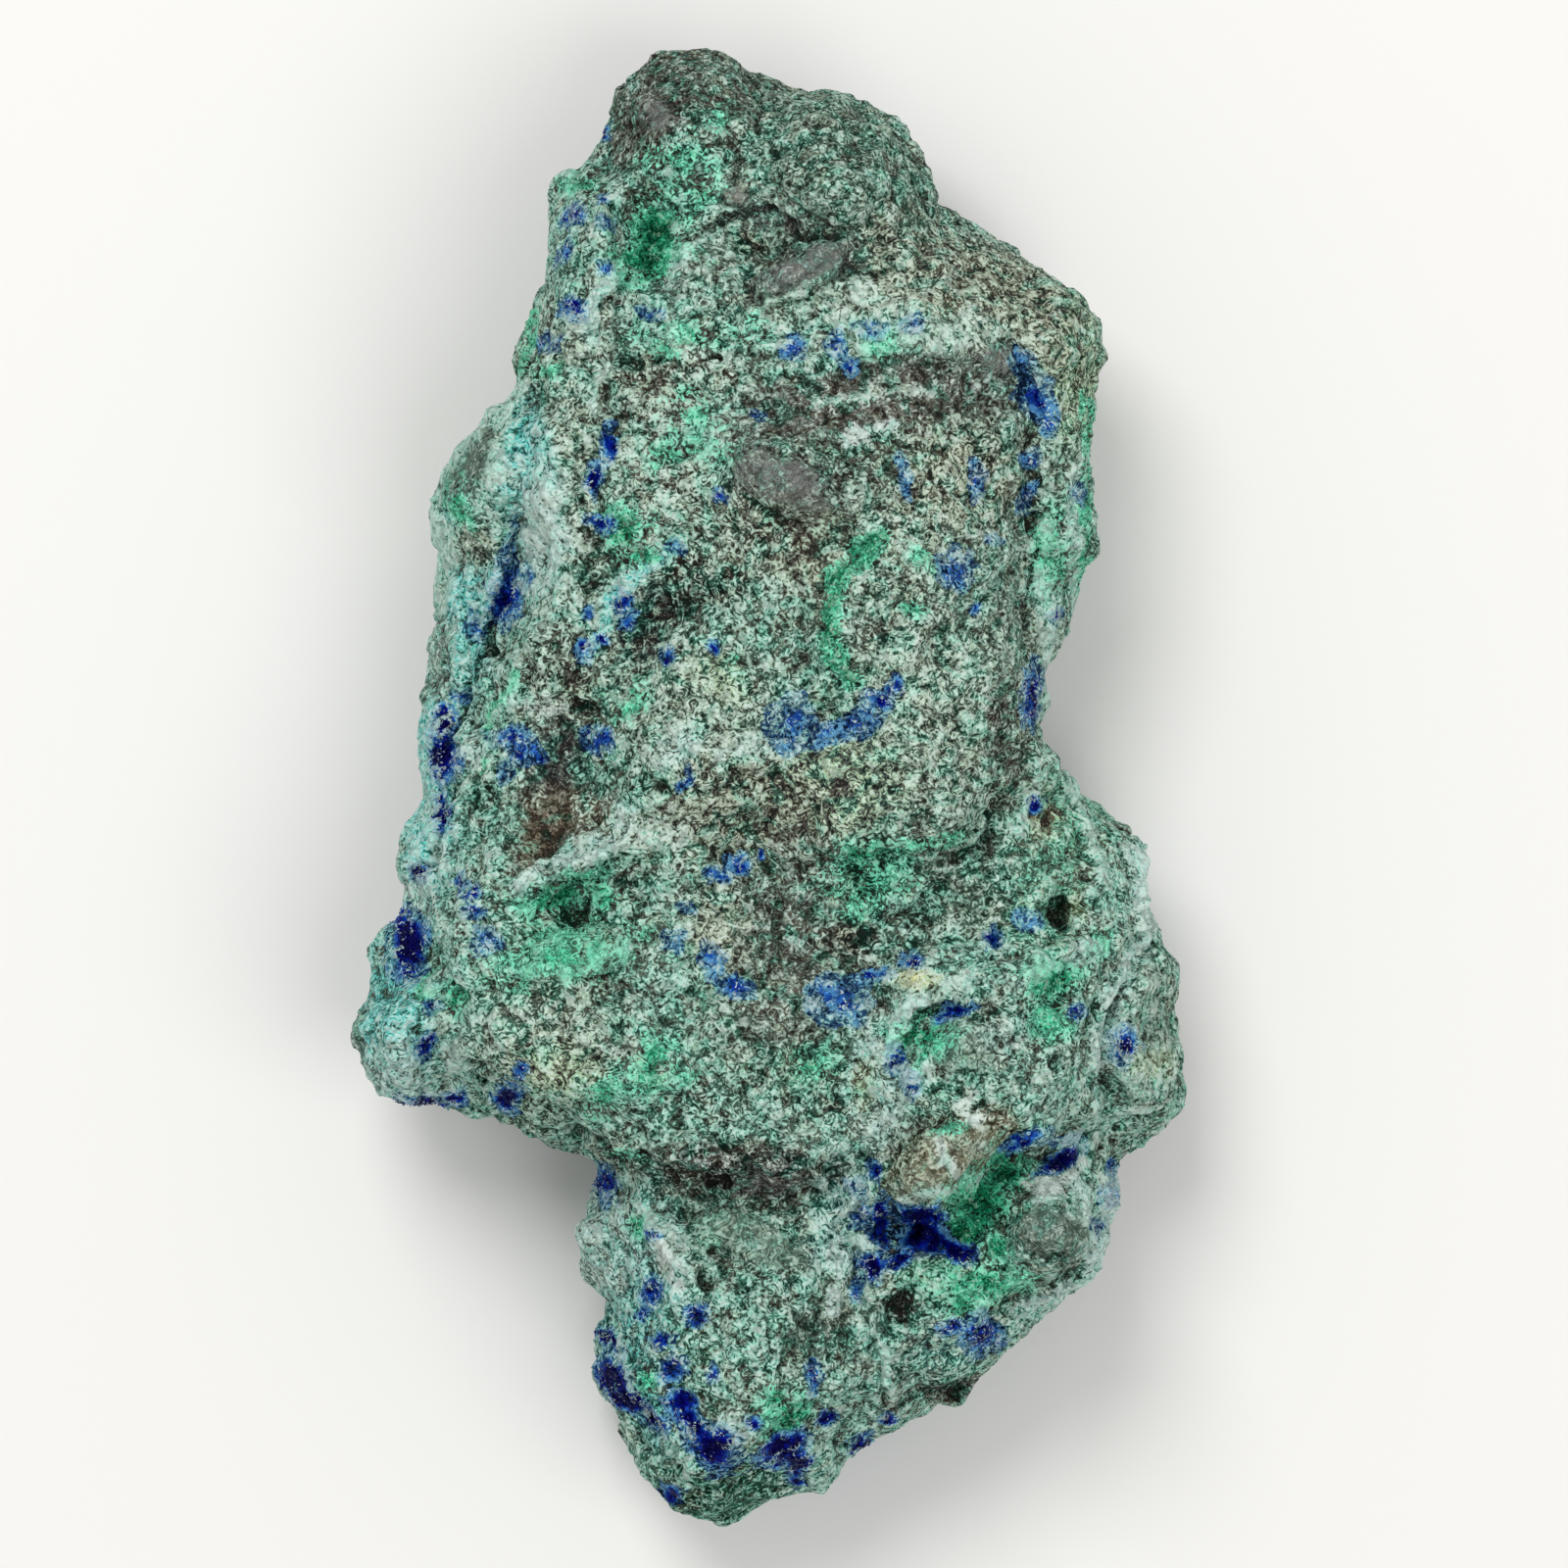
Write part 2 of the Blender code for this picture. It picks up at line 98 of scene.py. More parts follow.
# %% [markdown]
# ## The skin of the stone
#
# The solid has broad flat facets. A finer skin is made from a copy of it: its loose triangles
# are merged, a voxel remesh covers the form with an even net of small faces, and a smooth
# melts the facets. The solid itself is never touched.

# %% Copy, merge and remesh
SKIN_VOXEL = 0.40 * MM

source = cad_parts[NODE]
stone = bpy.data.objects.new("ore_stone", source.data.copy())
bpy.context.scene.collection.objects.link(stone)
pick_up(stone)
bpy.ops.object.mode_set(mode="EDIT")
bpy.ops.mesh.select_all(action="SELECT")
bpy.ops.mesh.remove_doubles(threshold=1e-6)
bpy.ops.mesh.normals_make_consistent(inside=False)
bpy.ops.object.mode_set(mode="OBJECT")
use(stone, "REMESH", mode="VOXEL", voxel_size=SKIN_VOXEL)
use(stone, "SMOOTH", factor=0.6, iterations=7)
print("skin:", triangles(stone), "triangles")


# %% [markdown]
# ## Tools for marking the stone
#
# The marks on a stone are too many to push in one by one with the mouse. So the points of the
# skin are read as one array, moved by simple rules, such as how near each one lies to a line or
# an oval on the drawing, and written back.

# %% Read and write a mesh as arrays
def read(piece, what="co"):
    data = piece.data.vertices if what == "co" else piece.data.vertex_normals
    values = np.empty(len(piece.data.vertices) * 3)
    data.foreach_get("co" if what == "co" else "vector", values)
    return values.reshape(-1, 3)


def write(piece, points):
    piece.data.vertices.foreach_set("co", points.ravel())
    piece.data.update()


def store(piece, name, values):
    """Keeps a value or a colour for each point on the piece."""
    kind = "FLOAT" if values.ndim == 1 else "FLOAT_COLOR"
    layer = piece.data.attributes.new(name, kind, "POINT")
    if values.ndim == 1:
        layer.data.foreach_set("value", values.astype(np.float32))
    else:
        four = np.concatenate([values, np.ones((len(values), 1))], axis=1)
        layer.data.foreach_set("color", four.astype(np.float32).ravel())


def smooth_step(value, low=0.0, high=1.0):
    share = np.clip((value - low) / (high - low), 0.0, 1.0)
    return share * share * (3.0 - 2.0 * share)


def to_line(places, line):
    """Distance of each place on the drawing from a line through several points."""
    nearest = np.full(len(places), 1e9)
    for start, end in zip(line, line[1:]):
        start, along = np.array(start), np.subtract(end, start)
        share = np.clip((places - start) @ along / (along @ along), 0.0, 1.0)
        gap = places - start - share[:, None] * along
        nearest = np.minimum(nearest, np.hypot(gap[:, 0], gap[:, 1]))
    return nearest


def to_oval(places, x, y, half_long, half_wide, turn=0.0):
    """How far out of an oval each place is: 0 in its middle, 1 on its edge."""
    cos, sin = math.cos(math.radians(turn)), math.sin(math.radians(turn))
    dx, dy = places[:, 0] - x, places[:, 1] - y
    return np.hypot((dx * cos + dy * sin) / half_long, (dy * cos - dx * sin) / half_wide)


# %% [markdown]
# ## Tools for node trees
#
# Nodes do two jobs here: they move the skin's points by noise, and they mix the colours. Both
# kinds of tree are written with the same few helpers, one line for each node.

# %% Helpers for node trees
def node(tree, kind, inputs=None, **settings):
    """Adds a node: its properties by name, and its inputs as values or as sockets to link."""
    made = tree.nodes.new(kind)
    for name, value in settings.items():
        setattr(made, name, value)
    for key, value in (inputs or {}).items():
        if isinstance(value, bpy.types.NodeSocket):
            tree.links.new(value, made.inputs[key])
        else:
            made.inputs[key].default_value = value
    return made


def sum_up(tree, operation, first, second, third=None):
    inputs = {0: first, 1: second}
    if third is not None:
        inputs[2] = third
    return node(tree, "ShaderNodeMath", inputs, operation=operation).outputs[0]


def geometry_tree(name):
    tree = bpy.data.node_groups.new(name, "GeometryNodeTree")
    for in_out in ("INPUT", "OUTPUT"):
        tree.interface.new_socket("Geometry", in_out=in_out, socket_type="NodeSocketGeometry")
    geometry = tree.nodes.new("NodeGroupInput").outputs[0]
    return tree, geometry, tree.nodes.new("NodeGroupOutput").inputs[0]


def noise(tree, size, detail=2.0, roughness=0.5, distortion=0.0, vector=None, output="Fac"):
    """Noise whose lumps are about the size given, in millimetres."""
    inputs = {"Scale": 1.0 / (size * MM), "Detail": detail, "Roughness": roughness,
              "Distortion": distortion}
    if vector is not None:
        inputs["Vector"] = vector
    return node(tree, "ShaderNodeTexNoise", inputs).outputs[output]


def vectors(tree, operation, first, second):
    """A vector worked out from two others, or from one and the number that scales it."""
    inputs = {0: first, "Scale" if operation == "SCALE" else 1: second}
    return node(tree, "ShaderNodeVectorMath", inputs, operation=operation).outputs[0]


def shift_by(tree, vector, drift, reach):
    """The vector, shifted by noise colours that average to a half."""
    drift = vectors(tree, "SUBTRACT", drift, (0.5, 0.5, 0.5))
    return vectors(tree, "ADD", vector, vectors(tree, "SCALE", drift, reach * MM))


def stored(tree, geometry, name, value, kind, domain="POINT"):
    """The geometry, with a value kept on it as an attribute."""
    inputs = {"Geometry": geometry, "Name": name, "Value": value}
    return node(tree, "GeometryNodeStoreNamedAttribute", inputs, data_type=kind, domain=domain).outputs[0]


def kept_value(tree, name):
    """A number that was kept on the mesh as an attribute, read back in geometry nodes."""
    return node(tree, "GeometryNodeInputNamedAttribute", {"Name": name}, data_type="FLOAT").outputs[0]


# %% Shift places on the drawing, so that nothing drawn runs straight or ends in a clean oval
WANDER = ((3.2, 2.4), (1.1, 1.3))  # size of the noise, and how far it shifts, mm
DRIFT = (0.9, 1.0, 0.5, 0.0)  # noises kept for the finishes: size in mm, detail, roughness, distortion
CLOUD = (2.6, 3.0, 0.6, 0.5)


def wandered(piece):
    """Each point's place on the drawing after it has been shifted by noise."""
    tree, geometry, out = geometry_tree("Wander")
    place = tree.nodes.new("GeometryNodeInputPosition").outputs[0]
    shifted = place
    for size, reach in WANDER:
        shifted = shift_by(tree, shifted, noise(tree, size, 2.0, 0.5, 0.0, place, "Color"), reach)
    kept = {"wander": shifted, "drift": noise(tree, *DRIFT, place, "Color"),
            "cloud": noise(tree, *CLOUD, place, "Color")}
    for name, value in kept.items():
        geometry = stored(tree, geometry, name, value, "FLOAT_VECTOR")
    tree.links.new(geometry, out)
    use(piece, "NODES", node_group=tree)
    bpy.data.node_groups.remove(tree)
    layer = piece.data.attributes["wander"]
    values = np.empty(len(piece.data.vertices) * 3, dtype=np.float32)
    layer.data.foreach_get("vector", values)
    piece.data.attributes.remove(layer)
    return on_drawing(values.reshape(-1, 3).astype(float))


# %% [markdown]
# ## Cracks, rims and pits
#
# These are the marks that a voxel or two can hold: seams where blocks meet, thin rims of crust
# along the ledges, and small pits. Each is pushed in or out along the skin's own direction,
# and only where the skin faces the front.

# %% Lists of the marks
# Grooves and rims: depth or height, half-width, and the points that each one runs through, mm.
GROOVES = (
    (0.5, 0.3, ((-10.6, 33.7), (-8.6, 34.5), (-6.2, 33.6), (-3.6, 34.2), (-1.8, 33.5), (0.6, 34.6),
                (2.2, 34.9))),
    (0.9, 0.35, ((-6, 44.5), (-3, 44.9), (0.5, 45.8), (3, 44))),
    (1.1, 0.4, ((-0.8, 57.6), (0, 55), (-0.4, 53))), (0.7, 0.35, ((0.3, 39), (3.5, 40.2), (7.3, 41.6))),
    (0.5, 0.3, ((20, 35.6), (22.2, 31), (20.8, 26.4), (22.6, 19), (21.4, 13.6), (21.9, 8.6),
                (22.4, 4.8))),
    (0.9, 0.35, ((-19.8, 21), (-21, 15), (-23.5, 9), (-25.5, 3), (-26, -4), (-27.5, -7))),
    (0.35, 0.3, ((-11.6, 29), (-13, 25.6), (-12.6, 22.4), (-13.6, 19.6), (-14.5, 14))),
    (0.3, 0.4, ((0.5, -3), (-0.2, -6), (1.8, -9), (1.2, -13))),
    (0.8, 0.35, ((19, -0.5), (19, -2.5), (18.5, -4.8), (16, -6))),
    (0.8, 0.35, ((31.5, -13), (29.2, -15.8), (27.6, -19), (27.5, -24))),
    (0.9, 0.35, ((8, -30), (7.4, -35), (7.5, -40), (8.6, -45), (10, -50))),
    (0.8, 0.3, ((23.8, -34.4), (26.2, -36.4))), (0.8, 0.3, ((18.6, -42.2), (19.4, -44))),
    (0.8, 0.35, ((-11.5, -43.6), (-10, -49.4), (-6.8, -55.4), (-4.6, -59))),
    (0.7, 0.35, ((-14, -49.6), (-10.2, -55.6))),
    (0.7, 0.3, ((10.5, -22.5), (12.8, -18.6), (17.5, -16.9))),
)
RIMS = (
    (0.5, 0.5, ((-10.4, 33.4), (-7.2, 33.9), (-4.4, 33.5), (-1.6, 34.2))),
    (0.7, 0.45, ((-12.3, 41), (-14.5, 37), (-19, 31.5))),
    (0.6, 0.4, ((-12, 38), (-12.5, 33), (-13.5, 30))),
    (0.7, 0.5, ((-20.5, 31.3), (-23.5, 28.4), (-27, 23.3))),
    (0.7, 0.4, ((-19.5, 10), (-22.5, 3), (-24.5, -3), (-25.2, -5))),
    (0.5, 0.35, ((-18.3, 12), (-20.6, 5), (-22.6, -1))),
    (0.8, 0.5, ((-19.5, -8), (-17.5, -6.4), (-14.5, -5.8), (-12, -5))),
    (0.9, 0.5, ((-14, -28.5), (-10, -28.8), (-6, -28), (-3, -30), (1, -30.2), (3.5, -30.5), (5, -33))),
    (0.7, 0.5, ((30.5, -5), (31, -8.5), (31, -12.2))),
    (0.7, 0.5, ((30.6, -13.6), (28.4, -16.2), (26.8, -19.5), (26.8, -23))),
    (0.7, 0.5, ((27.4, -33), (28, -36), (26.6, -39), (23.6, -41.6))),
    (0.6, 0.45, ((24.5, 0), (26.4, -3.4), (27.5, -7))),
    (0.6, 0.45, ((10, -19), (14, -17.6), (18, -16), (22, -14.8))),
    (0.6, 0.4, ((9.8, 19.8), (6.4, 17), (5.6, 14), (5.9, 10.5), (7, 8.5))),
    (0.6, 0.4, ((6.2, -5), (10, -4.7), (16.5, -4.3))),
    (0.6, 0.4, ((11.2, -32.6), (14.5, -32.6), (18, -32.2))),
    (0.6, 0.4, ((-8.7, -45), (-7.4, -49.2), (-4.6, -53.8))),
)
# Pits: x, y, half-length, half-width, the turn where there is one, and the depth.
PITS = (
    (24.6, 40.3, 0.4, 0.4, 1), (22.2, 41.2, 0.4, 0.35, 0.9), (-3.7, 34, 0.5, 0.45, 1.2),
    (22, 20.8, 0.5, 0.8, 1.2), (23.8, -10.2, 0.55, 0.95, -20, 1.6), (18.5, -12.3, 0.6, 0.6, 1.4),
    (23.7, -22, 0.7, 0.7, 1.2), (-23.3, -23.2, 0.9, 0.9, 1.8), (-15, -10.6, 0.8, 0.55, 0.9),
    (-14.9, -28.5, 0.6, 0.8, 1.2), (-4.1, -39.2, 0.6, 0.9, 1.6), (17.5, -25.3, 0.35, 0.7, 1),
    (11.2, -42, 0.7, 0.7, 0.6), (15.5, -49.3, 1.3, 0.7, 1.2), (21, -33.8, 0.7, 0.7, 1.2),
    (11.8, -35.9, 1, 0.8, 2), (22.9, -3.2, 0.5, 0.7, -30, 0.6), (0.5, 46.3, 0.5, 0.4, 1),
    (0, 43.3, 0.7, 0.4, 1), (-2, 34.4, 0.5, 0.3, 0.9), (8, -12, 1.2, 0.9, 20, 0.4),
    (-4, -31.8, 1.6, 0.8, 1), (-14.2, 6.4, 1.2, 0.5, -20, 0.7),
)
# Smooth stones that stand out of the crust, given as the pits are, with a height.
PEBBLES = (
    (3.4, 41.1, 3.9, 1.8, 25, 1), (1.6, 24, 4.4, 2.3, -27, 0.7), (-8.6, 53.9, 1.3, 1.4, 0.5),
    (23.8, -35.8, 3.3, 2.2, -28, 0.5), (-23.4, 25.6, 1.9, 3.2, -25, 0.4), (19, 34.2, 1.8, 1.1, 0.4),
    (-2, 47.3, 0.9, 1.2, 0.3), (-15.2, -13.6, 5, 1.9, 14, 0.5), (16, -20.5, 2.6, 2.4, 0.4),
    (-0.6, -36.4, 5.4, 2, -24, 0.5), (15, -30, 4.7, 2.9, 28, 0.8),
)


def worn_at(places):
    """1 on a smooth stone, 0 beside it."""
    return np.max([np.exp(-(to_oval(places, *oval) ** 6)) for *oval, height in PEBBLES], axis=0)


# %% Carve them
points, normals = read(stone), read(stone, "normal")
places = wandered(stone)
front = smooth_step(normals[:, 2], -0.1, 0.35)
push = np.zeros(len(points))
for depth, half_width, line in GROOVES:
    push -= depth * np.exp(-((to_line(places, line) / half_width) ** 2))
for height, half_width, line in RIMS:
    push += height * np.exp(-((to_line(places, line) / half_width) ** 2))
for *oval, depth in PITS:
    push -= depth * np.exp(-(to_oval(places, *oval) ** 4))
for *oval, height in PEBBLES:
    out = to_oval(places, *oval)
    push += height * (smooth_step(1.2 - out, 0.0, 0.6) - 0.25 * np.exp(-(((out - 1.2) / 0.12) ** 2)))
worn = worn_at(places)
write(stone, points + normals * (front * push * MM)[:, None])
print("marks:", len(GROOVES) + len(RIMS) + len(PITS) + len(PEBBLES))

# %% [markdown]
# ## Weathering
#
# A broken, crusted surface is rough at every size. Geometry nodes push the skin out and in by
# noise: lumps of three sizes, broken blocks with cracks between them, ledges that run one way
# in each zone, and a scatter of holes where crust is missing. Nodes are the quick way, because
# they run over a hundred thousand points at once.

# %% Which way the ledges run
# The key is the way the ledges run, in degrees. Each zone is an oval with its strength.
LEDGES_RUN = {
    88: ((-21, 18, 6, 18, 1.0), (-23, -8, 6, 14, 0.9), (24, 20, 3, 16, 0.9), (31, -12, 3, 8, 0.7),
         (-14, 43, 4, 8, 0.6), (8, -40, 3, 9, 0.7)),
    -58: ((-9, -48, 6, 12, 25, 1.0), (-13, -25, 5, 5, 0.6), (-3, -55, 5, 5, 0.8), (25, -36, 5, 6, 0.6)),
    8: ((8, 33, 14, 7, 1.0), (0, 44, 10, 4, 10, 0.9), (14, -8, 10, 6, 0.8), (-2, -31, 8, 5, 1.0),
        (-15, -14, 7, 4, 8, 0.7), (20, -28, 9, 4, 20, 0.8), (-14, 6, 4, 5, 0.6)),
}


for way, ovals in LEDGES_RUN.items():
    share = np.zeros(len(places))
    for *oval, strength in ovals:
        share = np.maximum(share, strength * np.exp(-to_oval(places, *oval) ** 4))
    store(stone, f"ledges {way}", share * front * (1.0 - 0.8 * worn))
store(stone, "rough", 1.0 - 0.75 * worn)

# %% Push the skin by noise
LUMPS = ((4.5, 1.3), (1.8, 0.30), (0.8, 0.14))  # size and reach, mm
BLOCKS = ((3.4, 0.32), (1.5, 0.06))  # size of the broken blocks, and depth of the cracks between them
BEND = (2.4, 2.4)  # size of the noise that bends the blocks' edges, and how far it bends them, mm
LEDGE = (0.95, 4.5, 0.75)  # width of a ledge, how many times as long as wide, and its rise, mm
SWAY = (6.0, 5.0)  # size of the noise that sways the ledges, and how far, mm
MISSING = (1.3, 0.33, 0.22, 0.5)  # crust that fell out: size, where holes start and end, and depth, mm
CRACK_SHARE = 0.16  # how much of a block's width its cracks take up

tree, geometry, out = geometry_tree("Weathering")
height = None
for size, reach in LUMPS:
    lump = noise(tree, size, detail=2.0, roughness=0.55, distortion=0.3)
    lump = sum_up(tree, "MULTIPLY_ADD", lump, reach * MM, -0.5 * reach * MM)
    height = lump if height is None else sum_up(tree, "ADD", height, lump)
place = tree.nodes.new("GeometryNodeInputPosition").outputs[0]
bent = shift_by(tree, place, noise(tree, BEND[0], 2.0, 0.5, 0.0, place, "Color"), BEND[1])
for size, reach in BLOCKS:
    between = node(tree, "ShaderNodeTexVoronoi", {"Vector": bent, "Scale": 1.0 / (size * MM)},
                   feature="DISTANCE_TO_EDGE").outputs["Distance"]
    crack = {0: between, 1: 0.0, 2: CRACK_SHARE, 3: -reach * MM, 4: 0.0}
    crack = node(tree, "ShaderNodeMapRange", crack).outputs[0]
    height = sum_up(tree, "ADD", height, crack)
    tilt = node(tree, "ShaderNodeTexVoronoi", {"Vector": bent, "Scale": 1.0 / (size * MM)}).outputs["Color"]
    tilt = node(tree, "ShaderNodeSeparateXYZ", {0: tilt}).outputs[0]
    tilt = sum_up(tree, "MULTIPLY_ADD", tilt, 0.8 * reach * MM, -0.4 * reach * MM)
    height = sum_up(tree, "ADD", height, tilt)
swayed = shift_by(tree, place, noise(tree, SWAY[0], 1.0, 0.5, 0.0, place, "Color"), SWAY[1])
for way in LEDGES_RUN:
    width, longer, rise = LEDGE
    turned = node(tree, "ShaderNodeVectorRotate", {"Vector": swayed, "Angle": math.radians(-way)},
                  rotation_type="Z_AXIS").outputs[0]
    turned = vectors(tree, "MULTIPLY", turned, (1.0 / longer, 1.0, 0.5))
    ledge = noise(tree, width, 2.0, 0.6, 0.6, turned)
    ledge = sum_up(tree, "MULTIPLY_ADD", ledge, rise * MM, -0.5 * rise * MM)
    height = sum_up(tree, "MULTIPLY_ADD", ledge, kept_value(tree, f"ledges {way}"), height)
size, start, end, deep = MISSING
holes = noise(tree, size, detail=1.0, roughness=0.5, distortion=0.8)
holes = node(tree, "ShaderNodeMapRange", {0: holes, 1: start, 2: end, 3: 0.0, 4: -deep * MM}).outputs[0]
height = sum_up(tree, "ADD", height, holes)
height = sum_up(tree, "MULTIPLY", height, kept_value(tree, "rough"))
offset = vectors(tree, "SCALE", tree.nodes.new("GeometryNodeInputNormal").outputs[0], height)
moved = node(tree, "GeometryNodeSetPosition", {"Geometry": geometry, "Offset": offset}).outputs[0]
tree.links.new(moved, out)
use(stone, "NODES", node_group=tree)
bpy.data.node_groups.remove(tree)
for way in LEDGES_RUN:
    stone.data.attributes.remove(stone.data.attributes[f"ledges {way}"])
stone.data.attributes.remove(stone.data.attributes["rough"])

# %% [markdown]
# ## Fewer faces underneath
#
# The back and the foot are broken rock that is seldom seen, so most of their faces are merged.
# A vertex group says how willingly each part of the skin gives its faces up.

# %% Level the foot, and thin the skin
MOST_TRIANGLES = 194000
FOOT = 0.25 * MM

points, normals = read(stone), read(stone, "normal")
points[points[:, 2] < FOOT, 2] = 0.0
write(stone, points)
group = stone.vertex_groups.new(name="underneath")
level = np.clip(1.0 - smooth_step(normals[:, 2], -0.5, 0.2) * 0.92, 0.0, 1.0)
for step in range(11):
    picked = np.flatnonzero(np.round(level * 10) == step)
    group.add(picked.tolist(), step / 10, "REPLACE")
use(stone, "DECIMATE", ratio=MOST_TRIANGLES / triangles(stone), vertex_group="underneath",
    vertex_group_factor=1.0)
stone.vertex_groups.clear()
print("stone:", triangles(stone), "triangles")

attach(stone, "root")
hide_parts(NODE)
